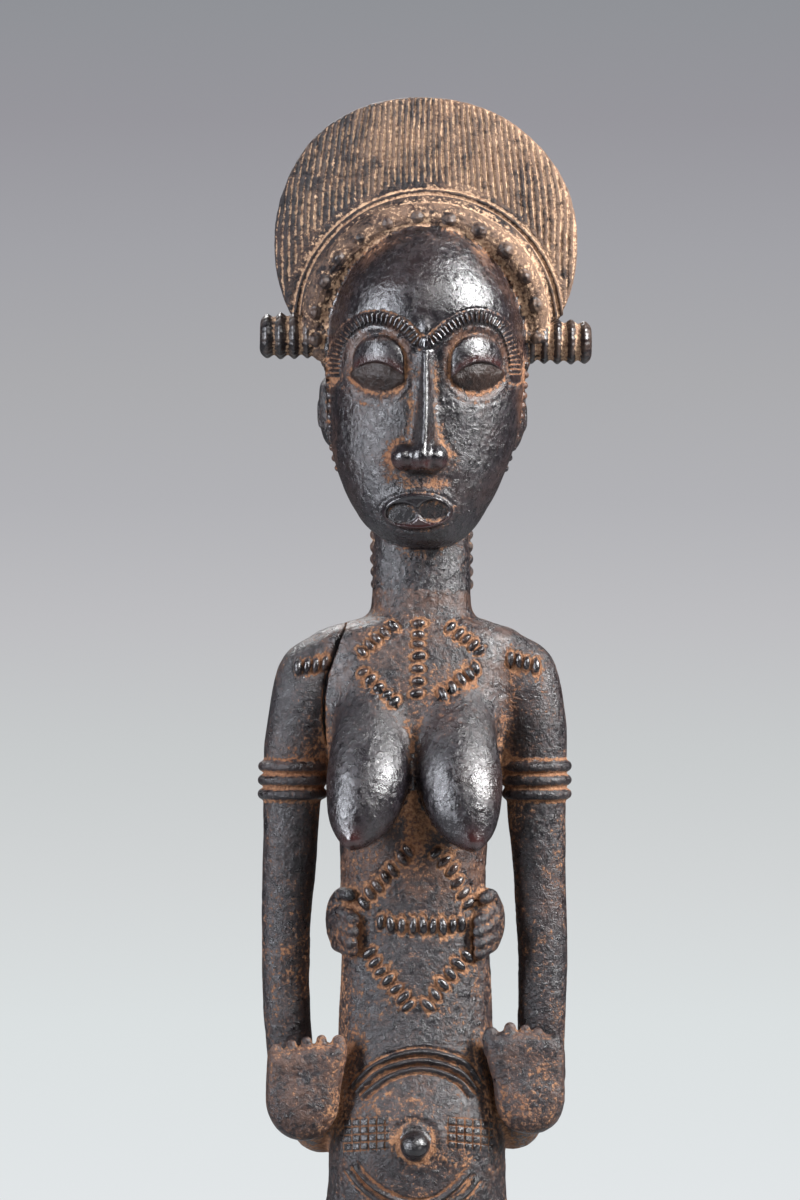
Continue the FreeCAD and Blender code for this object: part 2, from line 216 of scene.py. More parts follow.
def slab(poly, y0, y1, rnd):
    """Closed outline in the XZ plane, from y0 to y1, with rounded edges."""
    q = np.array(poly, float)
    s = np.arange(len(q) + 1)
    c = np.vstack([q[-2:], q, q[:3]])
    ss = np.linspace(0, len(q), len(q) * 3 + 1)[:-1]
    q = np.array([catmull(np.arange(-2, len(q) + 3), c[:, i], ss) for i in (0, 1)]).T

    def fn(x, y, z):
        x, z = x + 0 * z, z + 0 * x
        d = np.full(np.broadcast(x, z).shape, 1e9, F)
        sgn = np.ones(d.shape, F)
        for a, b in zip(q, np.roll(q, -1, 0)):
            ex, ez = b - a
            wx, wz = x - a[0], z - a[1]
            t = np.clip((wx * ex + wz * ez) / (ex * ex + ez * ez), 0, 1)
            d = np.minimum(d, (wx - t * ex) ** 2 + (wz - t * ez) ** 2)
            c1, c2, c3 = z >= a[1], z < b[1], ex * wz > ez * wx
            sgn = np.where((c1 & c2 & c3) | (~c1 & ~c2 & ~c3), -sgn, sgn)
        d2 = sgn * np.sqrt(d)
        return smax(d2, np.abs(y - (y0 + y1) / 2) - (y1 - y0) / 2, rnd)
    return fn, (q[:, 0].min(), y0, q[:, 1].min()), (q[:, 0].max(), y1, q[:, 1].max())


def sides(fn_of_side):
    for s in (-1, 1):
        fn_of_side(s)


R_, L_ = "right_", "left_"          # the figure's own right is -X


def nm(s, name):
    return (R_ if s < 0 else L_) + name


# ---- plinth, legs, feet
add("plinth", *loft([(0.0, 0, -55.2, 55.2, 55.2), (1.6, 0, -56.6, 56.6, 56.6), (9, 0, -56.5, 56.5, 56.5),
                     (13, 0, -55.4, 55.4, 55.4), (17, 0, -55.9, 55.9, 55.9), (22.5, 0, -54.9, 54.9, 54.9),
                     (26.2, 0, -52.4, 52.4, 52.4)], cap=2.2), k=0)


def legs(s):
    x = 17.0 * s
    add(nm(s, "leg"), *loft([
        (24, x, -6.4, 13.8, 9.2), (30, x, -5.8, 13.2, 8.6), (38, x, -5.6, 13.2, 8.6), (46, x, -6.2, 15.6, 9.8),
        (56, x * 1.01, -7.2, 18.8, 12.0), (64, x * 1.02, -8.2, 19.6, 12.9), (74, x * 1.01, -10.0, 17.6, 12.5),
        (84, x, -12.8, 12.0, 11.6), (91, x, -14.4, 9.6, 11.8), (98, x, -15.0, 10.4, 12.4),
        (108, x * 0.99, -15.6, 14.2, 13.8), (120, x * 0.98, -16.0, 18.4, 14.8), (132, x * 0.95, -17.0, 22.0, 15.2),
        (142, x * 0.90, -17.0, 23.0, 14.5)], n=2.15, cap=3), k=2.5)
    add(nm(s, "leg"), *egg((x, -11.8, 91.5), (7.4, 4.0, 6.6)), k=6)       # kneecap
    add(nm(s, "foot"), *tube([(x, 5.5, 31.5, 9.2), (x * 1.02, -6, 31.0, 9.6), (x * 1.05, -18, 28.4, 10.2), (x * 1.07, -27, 26.6, 9.4)],
                             n=8), k=3)
    for i, (dx, y, r, zz) in enumerate(((-7.2, -34.4, 3.3, 27.4), (-2.6, -35.4, 2.5, 27.0), (1.4, -34.6, 2.4, 26.8),
                                        (5.2, -32.6, 2.3, 26.6), (8.8, -29.6, 2.3, 26.4))):
        add(nm(s, "foot"), *tube([(s * (18.0 + dx * 0.96), y + 9, zz + 2.2, r), (s * (18.2 + dx), y, zz, r)], n=1), k=0.7)


sides(legs)

# ---- trunk
TRUNK = [
    (131, 0, -15.5, 23.5, 29.0), (138, 0, -19.0, 28.0, 31.6), (147, 0, -22.4, 30.2, 32.4), (156, 0, -24.6, 29.6, 31.4),
    (165, 0, -26.4, 26.8, 29.2), (174, 0, -28.0, 24.0, 28.3), (184, 0, -28.7, 22.2, 28.1), (194, 0, -27.4, 21.2, 27.2),
    (204, 0, -24.6, 20.4, 26.0), (214, -0.2, -22.0, 20.0, 25.0), (228, -0.4, -20.0, 19.7, 24.4), (243, -0.5, -19.2, 19.6, 23.8),
    (256, -0.9, -19.0, 19.7, 23.2), (268, -1.2, -19.3, 20.0, 23.2), (282, -1.2, -19.8, 20.8, 23.7), (294, -0.8, -20.4, 21.4, 25.6),
    (308, -0.4, -20.8, 21.8, 28.0), (322, 0, -20.2, 21.6, 30.0), (333, 0, -18.4, 20.8, 31.5), (341, 0, -16.4, 19.8, 32.6),
    (346, 0, -14.8, 19.0, 32.2), (349.0, 0.3, -13.4, 18.4, 29.6), (351.4, 0.7, -12.3, 18.0, 23.0), (353.2, 1.1, -11.5, 17.8, 18.0),
    (356, 1.4, -11.0, 17.6, 16.3), (360, 1.4, -10.7, 17.6, 15.9), (366, 1.5, -10.2, 17.6, 15.6), (376, 1.6, -9.6, 17.8, 15.1), (390, 1.7, -9.2, 18.0, 14.6),
    (404, 2.0, -8.0, 17.6, 14.6)]
fn, lo, hi = loft(TRUNK, n=2.25, cap=4)
add("trunk", fn, lo, hi, k=5)


def rear(s):
    add("hips", *egg((s * 14.2, 17.0, 146.5), (16.0, 15.8, 17.0)), k=7)
    add("chest", *egg((s * 13.5, 15.2, 322), (12.5, 8.6, 20.0), ("y", -8 * s)), k=7)      # shoulder blade


sides(rear)

# ---- breasts
add("right_breast", *tube([(-13.6, -9, 327, 9.0), (-15.0, -18.5, 310, 12.6), (-16.0, -25.5, 298.5, 12.7),
                           (-18.4, -31.0, 289.0, 8.6), (-19.8, -34.6, 284.2, 4.3)], n=44), k=3.6)
add("left_breast", *tube([(12.4, -9, 327, 9.0), (12.9, -18.5, 310, 12.8), (13.8, -25.5, 298, 12.9),
                          (16.0, -31.0, 288.4, 8.6), (17.2, -34.6, 283.6, 4.3)], n=44), k=3.6)
add("navel", *egg((-0.7, -30.0, 186.2), (4.9, 5.6, 4.9)), k=1.2)

# ---- arms
ARM_R = [(347.5, -28.0, 6.0), (344.6, -30.6, 8.0), (340.0, -33.2, 9.8), (334.4, -34.8, 10.4), (329.6, -35.7, 10.6), (320, -37.3, 10.5),
         (310.4, -39.0, 10.1), (300, -39.6, 9.4), (291, -40.1, 9.2), (281.6, -40.5, 8.9), (272, -41.1, 8.5), (258, -41.7, 8.0),
         (243, -42.0, 7.7), (228, -41.7, 7.4), (216, -40.8, 7.3), (207, -39.9, 7.4), (200, -39.6, 6.0)]
ARM_L = [(347.5, 27.6, 6.0), (344.6, 30.6, 8.0), (340.0, 33.4, 9.8), (334.4, 35.0, 10.4), (329.6, 35.8, 10.7), (320, 37.0, 10.7),
         (310.4, 37.8, 10.1), (300, 38.1, 9.6), (291, 38.3, 9.4), (281.6, 38.8, 8.9), (272, 39.2, 8.5), (258, 39.6, 8.2),
         (243, 40.2, 7.9), (228, 40.0, 7.7), (216, 39.6, 7.5), (207, 39.4, 7.4), (200, 39.2, 6.0)]


def arms(s):
    rows = []
    for z, x, a in (ARM_R if s < 0 else ARM_L):
        b = max(a * 1.03, 8.6) if z < 330 else a
        yc = 0.6 + (z < 222) * (222 - z) * 0.22
        rows.append((z, x, yc - b, yc + b * (1.0 + (z < 222) * (222 - z) * 0.012), a))
    add(nm(s, "arm"), *loft(rows, n=2.1, cap=5), k=5.0)
    xc = -39.4 if s < 0 else 38.1
    for i in range(3):
        z = 305.3 - 4.45 * i
        fn, lo, hi = ring_band(xc + (0.15 if s > 0 else -0.15) * i, 0.6, z, 9.75 - 0.12 * i, 10.1, 1.75)
        add(nm(s, "armlet"), fn, lo, hi, k=0.9)
    x = 40.0 * s
    add(nm(s, "forearm"), *tube([(x * 0.985, 7.0, 206.0, 7.2), (x * 0.97, 15.0, 201.0, 7.2), (x * 0.90, 26.0, 198.4, 6.9), (x * 0.74, 36.5, 198.0, 6.2),
                                 (x * 0.52, 43.0, 199.6, 5.4)], n=10), k=4)
    add(nm(s, "hand"), *tube([(x * 0.50, 43.4, 200.0, 5.2), (x * 0.36, 46.2, 202.6, 5.6), (x * 0.24, 47.4, 205.0, 5.0)], n=5), k=2.5)
    for j in range(4):
        z = 209.0 - 3.3 * j
        add(nm(s, "hand"), *tube([(x * 0.28, 48.0, z - 2.2, 2.0), (x * 0.16, 50.0, z + 0.4, 1.95), (x * 0.045, 50.2 - 0.2 * j, z + 1.4, 1.7)], n=4), k=0.8)
    add(nm(s, "hand"), *tube([(x * 0.40, 45.0, 206.0, 2.2), (x * 0.30, 46.6, 212.0, 2.0), (x * 0.26, 47.2, 215.5, 1.7)], n=3), k=1.2)


def ring_band(cx, cy, cz, ra, rb, r):
    def fn(x, y, z):
        u, v = (x - cx) / ra, (y - cy) / rb
        q = np.sqrt(u * u + v * v) + 1e-4
        g = np.sqrt((u / ra) ** 2 + (v / rb) ** 2) / q
        d = (q - 1) / np.maximum(g, 1e-3)
        return np.sqrt(d * d + (z - cz) ** 2) - r
    return fn, (cx - ra - r, cy - rb - r, cz - r), (cx + ra + r, cy + rb + r, cz + r)


sides(arms)

# ---- child on the back
add("child_torso", *loft([(205.0, 0, 26, 43.0, 14.0), (212, 0, 20, 46.0, 17.0), (222, 0, 18, 47.2, 17.4), (236, 0, 17, 43.4, 14.6),
                          (250, 0, 17, 42.4, 14.8), (260, 0, 17, 42.0, 15.8), (266, 0, 18, 41.0, 13.0), (270, 0, 21, 39.0, 8.0),
                          (276, 0, 22, 39.0, 7.2)], n=2.2, cap=5), k=3)
add("child_head", *egg((0.6, 34.8, 289.0), (13.0, 15.4, 17.6)), k=1.6)
add("child_head", *egg((7.4, 33.6, 285.4), (8.4, 9.0, 13.4), ("z", -8)), k=3.0)     # face, turned to the figure's left
add("child_head", *tube([(13.4, 31.8, 292.4, 1.3), (16.2, 31.2, 287.0, 1.5), (17.2, 30.8, 283.4, 2.1)], n=4), k=0.9)   # nose
add("child_head", *egg((14.6, 30.0, 277.2), (2.3, 3.6, 1.9)), k=0.8)
for dy in (-5.4, 4.4):
    add("child_head", *egg((13.4, 31.4 + dy, 288.6), (2.6, 3.5, 2.6)), k=0.7)
    add("child_head", *tube([(11.8, 31.2 + dy - 3.6, 291.0, 0.8), (13.6, 31.2 + dy, 293.8, 0.9), (12.2, 31.2 + dy + 3.8, 292.0, 0.8)], n=4), k=0.7)
add("child_head", *egg((3.4, 46.6, 286.6), (5.0, 2.2, 3.4)), k=0.8)                   # ear at the back
add("child_head", *tube([(-1, 26, 301.6, 2.0), (-0.6, 34, 304.6, 2.3), (-0.2, 42.5, 302.0, 2.2), (0.2, 48.0, 294.5, 1.8)], n=9), k=1.2)    # ridge of hair


def child(s):
    # thigh and shin round the mother's waist
    x = 1.0 * s
    add(nm(s, "child_leg"), *tube([(x * 10.0, 36.0, 211.0, 10.4), (x * 21.0, 30.0, 201.0, 10.6), (x * 28.6, 18.0, 191.6 + 0.4 * s, 10.0), (x * 31.0, 5.0, 191.2 + 0.6 * s, 9.2),
                                   (x * 32.0, -6.0, 195.6, 8.4), (x * 33.0, -13.0, 200.0, 7.6)], n=12), k=2.5)
    add(nm(s, "child_arm"), *tube([(x * 11.0, 31.0, 262.0, 5.4), (x * 18.5, 27.0, 259.0, 5.0), (x * 23.6, 18.0, 257.0, 4.5), (x * (24.0 if s < 0 else 22.4), 8.0, 256.0, 4.1),
                                   (x * (23.4 if s < 0 else 21.6), 0.0, 256.2, 4.0)], n=10), k=2.0)


sides(child)


def px(u, v, y=0.0):
    return deep((u - 417) * 0.32, y, (1720 - v) * 0.32)


# feet of the child: soles forward, toes up
FOOT_R = [(268.5, 1050), (266, 1070), (266, 1095), (270, 1112), (279, 1127), (292, 1136), (306, 1138.5), (320, 1133), (331, 1120), (338, 1100), (343, 1077),
          (346.5, 1056), (344, 1044), (330, 1043), (312, 1044), (295, 1047), (279, 1050)]
FOOT_L = [(485, 1041), (487.5, 1062), (493, 1080), (497, 1100), (503, 1118), (513, 1128), (527, 1131.5), (542, 1130), (555, 1120), (562, 1100), (565, 1074),
          (565, 1052), (560.5, 1040), (544, 1033), (523, 1031), (504, 1031), (491, 1034)]
TOES_R = [(338.5, 1043.5, 9.2), (321.5, 1041.5, 7.0), (306.5, 1043, 6.8), (291.5, 1046.5, 6.8), (276.5, 1051.0, 7.4)]
TOES_L = [(491, 1035, 9.0), (510, 1030.0, 8.4), (525.3, 1031.0, 6.4), (537.6, 1034.0, 6.6), (554.5, 1041.0, 8.2)]
for s, poly, toes in ((-1, FOOT_R, TOES_R), (1, FOOT_L, TOES_L)):
    pts = [(px(u, v, -19)[0], px(u, v, -19)[2]) for u, v in poly]
    add(nm(s, "child_foot"), *slab(pts, -23.4, -13.6, 5.0), k=1.6)
    for u, v, r in toes:
        x, _, z = px(u, v + 1.5, -19)
        rr = r * 0.29
        add(nm(s, "child_foot"), *tube([(x, -17.6, z - 4.6, rr * 0.9), (x, -18.6, z - 0.4, rr), (x, -19.0, z + 1.0, rr * 0.86)], n=3), k=0.9)
    # heel and ball of the foot
    x, _, z = px(303 if s < 0 else 531, 1107 if s < 0 else 1101, -19)
    add(nm(s, "child_foot"), *egg((x, -18.6, z), (9.6, 5.6, 9.0)), k=4)

# hands of the child on the mother's waist
for s, cu in ((-1, 343.5), (1, 487.0)):
    x, _, z = px(cu, 921, -6)
    add(nm(s, "child_hand"), *egg((x, -5.2, z), (5.1, 8.6, 10.6), ("z", -26 * s)), k=1.4)
FINGERS_R = [((334.5, 909, -4.5), (343, 912, -10.6), (353.0, 919.5, -15.6)), ((333.0, 921, -4.5), (342, 925, -11.0), (352.5, 932, -16.2)),
             ((334.0, 933, -4.5), (343, 937, -11.0), (351.5, 943, -16.0)), ((337.5, 944.5, -5), (345, 947, -10.6), (352.0, 950.5, -14.8))]
FINGERS_L = [((494.0, 909, -4.5), (487.0, 914, -10.2), (479.5, 921, -14.6)), ((496.0, 921, -4.5), (488.0, 927, -10.6), (479.0, 932, -15.4)),
             ((495.0, 933, -4.5), (487.5, 938.5, -10.6), (479.5, 943, -15.0)), ((491.5, 944, -5), (485.5, 948, -10), (480.0, 953, -13.8))]
for s, fingers, thumb in ((-1, FINGERS_R, ((337, 902, -6), (342, 895.0, -9.6), (350, 895, -13.4))),
                          (1, FINGERS_L, ((495, 903, -6), (490.5, 895.5, -9.2), (485, 898, -12.8)))):
    for f in fingers + [thumb]:
        pts = [(*px(u, v, y),) for u, v, y in f]
        add(nm(s, "child_hand"), *tube([(p[0], p[1], p[2], r) for p, r in zip(pts, (2.2, 2.3, 2.0))], n=8), k=0.9)

# ---- head
HEAD = [(375.0, 2.2, -24.5, -8.0, 6.0), (377.0, 1.9, -28.2, -2.0, 11.4), (380.0, 1.5, -30.6, 3.0, 15.4), (382.6, 1.2, -31.9, 6.0, 17.9),
        (387.4, 1.1, -33.4, 11.0, 20.9), (392.0, 1.2, -34.2, 15.0, 23.5), (396.8, 1.3, -34.8, 18.0, 25.6), (401.6, 1.5, -35.2, 21.0, 27.4), (406.4, 1.8, -35.2, 24.0, 28.9),
        (412.8, 2.4, -35.0, 27.0, 29.9), (422.4, 3.0, -35.0, 31.0, 30.8), (432.0, 3.2, -35.8, 33.5, 31.4), (440.0, 3.1, -36.6, 34.5, 31.6),
        (448.0, 3.0, -37.2, 34.5, 30.9), (456.0, 3.0, -36.0, 33.5, 28.9), (463.0, 3.0, -33.0, 31.0, 25.7), (470.0, 3.0, -28.0, 27.0, 20.8),
        (476.0, 3.1, -21.0, 22.0, 13.8), (479.5, 3.2, -12.0, 17.0, 7.0), (481.0, 3.2, -5.0, 12.0, 3.0)]
fn, lo, hi = loft(HEAD, n=2.12, cap=1.0)
add("head", fn, lo, hi, k=3.0)
HX = 2.8


def cap_fn(x, y, z):
    d = egg((HX, 6.5, 446.0), (34.4, 34.4, 38.4))[0](x, y, z)
    return smax(d, -4.0 - y, 1.5)


add("hair_cap", cap_fn, (HX - 34.4, -4.2, 407.6), (HX + 34.4, 41, 484.4), k=1.0)
CREST_C = (2.88, 7.4, 472.7)


def crest_fn(x, y, z):
    u, w = (x - CREST_C[0] + 1.3 * sstep(486, 516, z)) / 48.6, (z - CREST_C[2]) / 47.3
    q = (np.abs(u) ** 2.1 + np.abs(w) ** 2.1 + 1e-6) ** (1 / 2.1)
    lean = 0.035 * (z - 470.0)
    half = 2.7 + 4.4 * np.clip(1 - q * q, 0, 1) ** 0.7
    foot = 5.5 * sstep(478, 452, z)          # the front swells towards the foot
    yc = CREST_C[1] + lean
    d = np.maximum(np.abs(y - yc) - half, (yc - half - foot * np.clip(1.05 - q, 0, 1) - y) * 0 + (np.abs(y - yc) - half))
    return smax(smax(d, (q - 1) * 47.5, 1.6), (446.5 - z), 3.0)


add("coiffure_crest", crest_fn, (HX - 48.6, -4, 446), (HX + 48.8, 20, 520.2), k=3.5)

BAND_R, BAND_T = 35.0, 4.4
BAND_TILT = math.radians(16)


def band_at(deg, out=0.0, lift=0.0):
    """Point on the hairline band: deg from the top, out along the arch radius, lift to the front."""
    t = math.radians(deg)
    r = BAND_R + out
    x, zz, yy = r * math.sin(t), r * math.cos(t), -lift
    return (HX + x, -6.5 + yy * math.cos(BAND_TILT) - zz * math.sin(BAND_TILT), 446.5 + zz * math.cos(BAND_TILT) + yy * math.sin(BAND_TILT))


add("coiffure_crest", *egg((HX, 0.5, 452.0), (37.6, 15.0, 34.0)), k=5)
pts = [(*band_at(a), BAND_T - (abs(a) > 80) * (abs(a) - 80) * 0.05) for a in range(-104, 105, 8)]
add("hairline_band", *tube(pts, n=40), k=3.0)
BEADS = [(-97, 1.0), (-83, 1.0), (-66, 1.0), (-51.5, 1.0), (-36, 0.6), (-20, 0.75), (-4.5, 0.9), (11.7, 1.05), (28.3, 1.15), (45.6, 1.15), (62.7, 1.1), (79, 1.1), (96, 1.0)]
for a, f in BEADS:
    c = band_at(a, 0.4, 3.6)
    add("hairline_band", *egg(c, (2.05 * f, 2.2 * f, 2.05 * f)), k=0.6)


def tufts(s):
    z0, r0 = (443.3, 7.0) if s < 0 else (441.3, 6.8)
    cx, end = HX, 53.0
    prof = np.array([(24, 0.80), (31.5, 0.86), (32.3, 0.86), (33.9, 1.05), (35.6, 0.88), (37.8, 1.08), (39.8, 0.90), (42.0, 1.09), (44.1, 0.90), (46.4, 1.08), (48.5, 0.88),
                     (50.6, 1.02), (52.0, 0.93), (54, 0.80)])
    tt = np.linspace(24, 54, 400)
    pr = pchip(prof[:, 0], prof[:, 1], tt) * r0

    def fn(x, y, z):
        t = (x - cx) * s
        tilt = (t - 30) * (0.02 if s < 0 else 0.03)
        r = np.sqrt((y + 2.0) ** 2 + (z - z0 + tilt) ** 2)
        return smax(r - np.interp(t, tt, pr).astype(F), np.maximum(t - end, 24 - t), 2.2)
    xs = sorted((cx + s * 24, cx + s * end))
    add(nm(s, "hair_tuft"), fn, (xs[0], -10.5, z0 - 9), (xs[1], 6.5, z0 + 9), k=1.2)


sides(tufts)


def ears(s):
    x = HX + s * 30.4
    ztop = 0 if s < 0 else -1.2
    x -= 1.6 if s > 0 else 0.6
    add(nm(s, "ear"), *egg((x, 3.5, 418.6 + ztop), (3.5, 7.4, 11.2), ("y", 5 * s)), k=1.2)
    add(nm(s, "ear"), *egg((x + s * 4.6, 4.6, 419.4 + ztop), (2.9, 4.6, 7.8)), k=1.6, sign=-1)
    add(nm(s, "ear"), *tube([(x + s * 1.6, 1.6, 423.4 + ztop, 1.2), (x + s * 2.4, 5.4, 421.0 + ztop, 1.3), (x + s * 2.4, 4.6, 416.6 + ztop, 1.3), (x + s * 2.0, 0.6, 414.8 + ztop, 1.3)], n=10), k=0.9)
    # braid in front of the ear
    for i in range(11):
        f = i / 10
        y = -6.5 + 3.0 * f
        z = 433.5 - 33.0 * f
        a = float(np.interp(z, [r[0] for r in HEAD], [r[4] for r in HEAD]))
        xx = float(np.interp(z, [r[0] for r in HEAD], [r[1] for r in HEAD])) + s * (a - 0.45 * f)
        add("head", *egg((xx, y, z), (1.35, 1.6, 1.25)), k=0.45)


sides(ears)

# nose: a narrow ridge with flat sides, wide wings and a flat underside
NOSE = np.array([(396.0, 1.4, -43.6, 0.44), (399.6, 1.5, -44.3, 0.44), (403.5, 1.8, -44.8, 0.42), (408, 2.2, -44.0, 0.41), (414, 2.45, -42.8, 0.40),
                 (424, 2.6, -40.5, 0.39), (433, 2.6, -38.9, 0.40), (440.0, 2.6, -38.2, 0.42), (446, 2.6, -37.6, 0.6)])
nt = table([tuple(r) for r in NOSE])


def nose_fn(x, y, z):
    zc = np.clip(z, 396, 446)
    cx, yr, k = (np.interp(zc, nt[0], nt[i]).astype(F) for i in (1, 2, 3))
    xx = np.abs(x - cx)
    side = (xx - (y - yr) * k - 0.55) / np.sqrt(1 + k * k)
    d = smax(side, yr - y, 1.1)
    d = smax(d, y + 26.0, 1)
    d = smax(d, z - 446.0, 2)
    return d


def under_nose(x, y, z):
    """Above the flat underside, which drops a little towards the lip."""
    return (399.8 - (y + 44.5) * 0.20) - z


def nose_all(x, y, z):
    d = nose_fn(x, y, z)
    for c, r in (((-4.0, -37.0, 403.2), (4.4, 6.0, 4.4)), ((5.4, -37.0, 403.2), (4.4, 6.0, 4.4)), ((0.9, -39.8, 403.4), (3.5, 5.3, 4.3))):
        d = smin(d, egg(c, r)[0](x, y, z), 1.6)
    return smax(d, under_nose(x, y, z), 0.7)


add("head", nose_all, (-9.5, -49.5, 394.5), (11.2, -26, 447), k=1.7)

# nape braids
for s in (-1, 1):
    for i in range(8):
        z = 391.5 - 4.0 * i
        add(nm(s, "nape_braid"), *egg((1.6 + s * 13.9, 7.5 + 0.15 * i, z), (2.7, 3.2, 2.3)), k=0.7)


# ------------------------------------------------------------------ field
def field(x, y, z, picks=None):
    """Signed distance of the whole figure at points, and the index of the nearest solid."""
    d = np.full(x.shape, 50.0, F)
    near = np.full(x.shape, 1e6, F)
    who = np.zeros(x.shape, np.int16)
    for i, (name, fn, lo, hi, k, sign) in enumerate(SOLIDS):
        if picks is None:
            m = 4.0 + k
            j = np.nonzero((x > lo[0] - m) & (x < hi[0] + m) & (y > lo[1] - m) & (y < hi[1] + m) & (z > lo[2] - m) & (z < hi[2] + m))[0]
        else:
            j = picks[i]
        if not len(j):
            continue
        v = fn(x[j], y[j], z[j]).astype(F)
        if sign > 0:
            closer = v < near[j]
            who[j[closer]] = i
            near[j] = np.minimum(near[j], v)
            d[j] = smin(d[j], v, k)
        else:
            d[j] = smax(d[j], -v, k)
    return d, who


def picks_for(x, y, z):
    out = []
    for name, fn, lo, hi, k, sign in SOLIDS:
        m = 5.0 + k
        out.append(np.nonzero((x > lo[0] - m) & (x < hi[0] + m) & (y > lo[1] - m) & (y < hi[1] + m) & (z > lo[2] - m) & (z < hi[2] + m))[0])
    return out


def gradient(x, y, z, picks, e=0.12):
    g = np.zeros((len(x), 3), F)
    f = np.zeros(len(x), F)
    for k in ((1, -1, -1), (-1, -1, 1), (-1, 1, -1), (1, 1, 1)):
        v, _ = field(x + k[0] * e, y + k[1] * e, z + k[2] * e, picks)
        f += v * 0.25
        for a in range(3):
            g[:, a] += k[a] * v
    return f, g / (4 * e)


def project(p, steps=2, picks=None):
    x, y, z = p.T.astype(F)
    picks = picks or picks_for(x, y, z)
    for _ in range(steps):
        f, g = gradient(x, y, z, picks)
        w = np.clip(f / np.maximum((g * g).sum(1), 0.2), -0.8, 0.8)
        x, y, z = x - w * g[:, 0], y - w * g[:, 1], z - w * g[:, 2]
    return np.stack([x, y, z], 1), picks


def dense(h):
    lo, hi = np.array([-60.0, -60.0, -3.0]), np.array([60.0, 60.0, 523.0])
    n = np.ceil((hi - lo) / h).astype(int) + 1
    ax = [(lo[i] + h * np.arange(n[i])).astype(F) for i in range(3)]
    d = np.full(n, 50.0, F)
    for name, fn, blo, bhi, k, sign in SOLIDS:
        m = 2.5 * h + k
        sl = []
        for i in range(3):
            a = int(np.clip(np.floor((blo[i] - m - lo[i]) / h), 0, n[i] - 1))
            b = int(np.clip(np.ceil((bhi[i] + m - lo[i]) / h) + 1, 1, n[i]))
            sl.append(slice(a, b))
        X, Y, Z = ax[0][sl[0]][:, None, None], ax[1][sl[1]][None, :, None], ax[2][sl[2]][None, None, :]
        v = np.broadcast_to(fn(X, Y, Z), d[tuple(sl)].shape).astype(F)
        d[tuple(sl)] = smin(d[tuple(sl)], v, k) if sign > 0 else smax(d[tuple(sl)], -v, k)
    return d, lo, h


def surface_nets(d, lo, h):
    s = d < 0
    n = np.array(s.shape)
    c = np.zeros(n - 1, np.int8)
    for a in (0, 1):
        for b in (0, 1):
            for e in (0, 1):
                c += s[a:n[0] - 1 + a, b:n[1] - 1 + b, e:n[2] - 1 + e]
    act = (c > 0) & (c < 8)
    idx = np.argwhere(act)
    vid = np.full(act.shape, -1, np.int32)
    vid[act] = np.arange(len(idx))
    pos, cnt = np.zeros((len(idx), 3)), np.zeros(len(idx))
    corner = [(a, b, e) for a in (0, 1) for b in (0, 1) for e in (0, 1)]
    for o1 in corner:
        for o2 in corner:
            if o1 < o2 and sum(abs(p - q) for p, q in zip(o1, o2)) == 1:
                f1 = d[tuple((idx + o1).T)]
                f2 = d[tuple((idx + o2).T)]
                m = (f1 < 0) != (f2 < 0)
                t = f1[m] / (f1[m] - f2[m])
                pos[m] += np.array(o1) + (np.array(o2) - np.array(o1)) * t[:, None]
                cnt[m] += 1
    pos = (idx + pos / cnt[:, None]) * h + lo
    quads = []
    for axis in range(3):
        o = [slice(None)] * 3
        o2 = list(o)
        o[axis], o2[axis] = slice(0, -1), slice(1, None)
        a, b = s[tuple(o)], s[tuple(o2)]
        e = np.argwhere(a != b)
        e = e[(e[:, (axis + 1) % 3] > 0) & (e[:, (axis + 2) % 3] > 0)]
        u, w = (axis + 1) % 3, (axis + 2) % 3
        du, dw = np.eye(3, dtype=int)[u], np.eye(3, dtype=int)[w]
        q = np.stack([vid[tuple((e - du - dw).T)], vid[tuple((e - dw).T)], vid[tuple(e.T)], vid[tuple((e - du).T)]], 1)
        flip = ~a[tuple(e.T)]
        q[flip] = q[flip][:, ::-1]
        quads.append(q)
    return pos.astype(F), np.concatenate(quads)


def edges_of(q):
    e = np.concatenate([q[:, [0, 1]], q[:, [1, 2]], q[:, [2, 3]], q[:, [3, 0]]])
    e.sort(axis=1)
    key = e[:, 0].astype(np.int64) * (int(q.max()) + 1) + e[:, 1]
    uk, inv = np.unique(key, return_inverse=True)
    m = int(q.max()) + 1
    return np.stack([uk // m, uk % m], 1), inv.reshape(4, -1).T


def subdivide(p, q):
    ue, fe = edges_of(q)
    n, ne = len(p), len(ue)
    mid = (p[ue[:, 0]] + p[ue[:, 1]]) * 0.5
    cen = p[q].mean(1)
    pp = np.concatenate([p, mid, cen])
    c = n + ne + np.arange(len(q))
    e = n + fe
    out = np.concatenate([np.stack([q[:, i], e[:, i], c, e[:, i - 1]], 1) for i in range(4)])
    parent = np.tile(np.arange(len(q)), 4)
    return pp, out, parent


def relax(p, q, w=0.5):
    ue, _ = edges_of(q)
    n = len(p)
    deg = np.bincount(ue.ravel(), minlength=n).astype(float)
    s = np.stack([np.bincount(ue[:, 0], p[ue[:, 1], a], n) + np.bincount(ue[:, 1], p[ue[:, 0], a], n) for a in range(3)], 1)
    return (p + w * (s / np.maximum(deg, 1)[:, None] - p)).astype(F)


def normals(p, q):
    a, b = p[q[:, 2]] - p[q[:, 0]], p[q[:, 3]] - p[q[:, 1]]
    fn = np.cross(a, b)
    n = np.stack([np.bincount(q.ravel(), np.repeat(fn[:, i], 4), len(p)) for i in range(3)], 1)
    return (n / np.maximum(np.linalg.norm(n, axis=1), 1e-9)[:, None]).astype(F)


def log(*a):
    print("[%.1fs]" % (time.time() - T0), *a, flush=True)


# ------------------------------------------------------------------ carved relief
def U(u):
    return (np.asarray(u, float) - 417) * 0.32


def W(v):
    return (1720 - np.asarray(v, float)) * 0.32


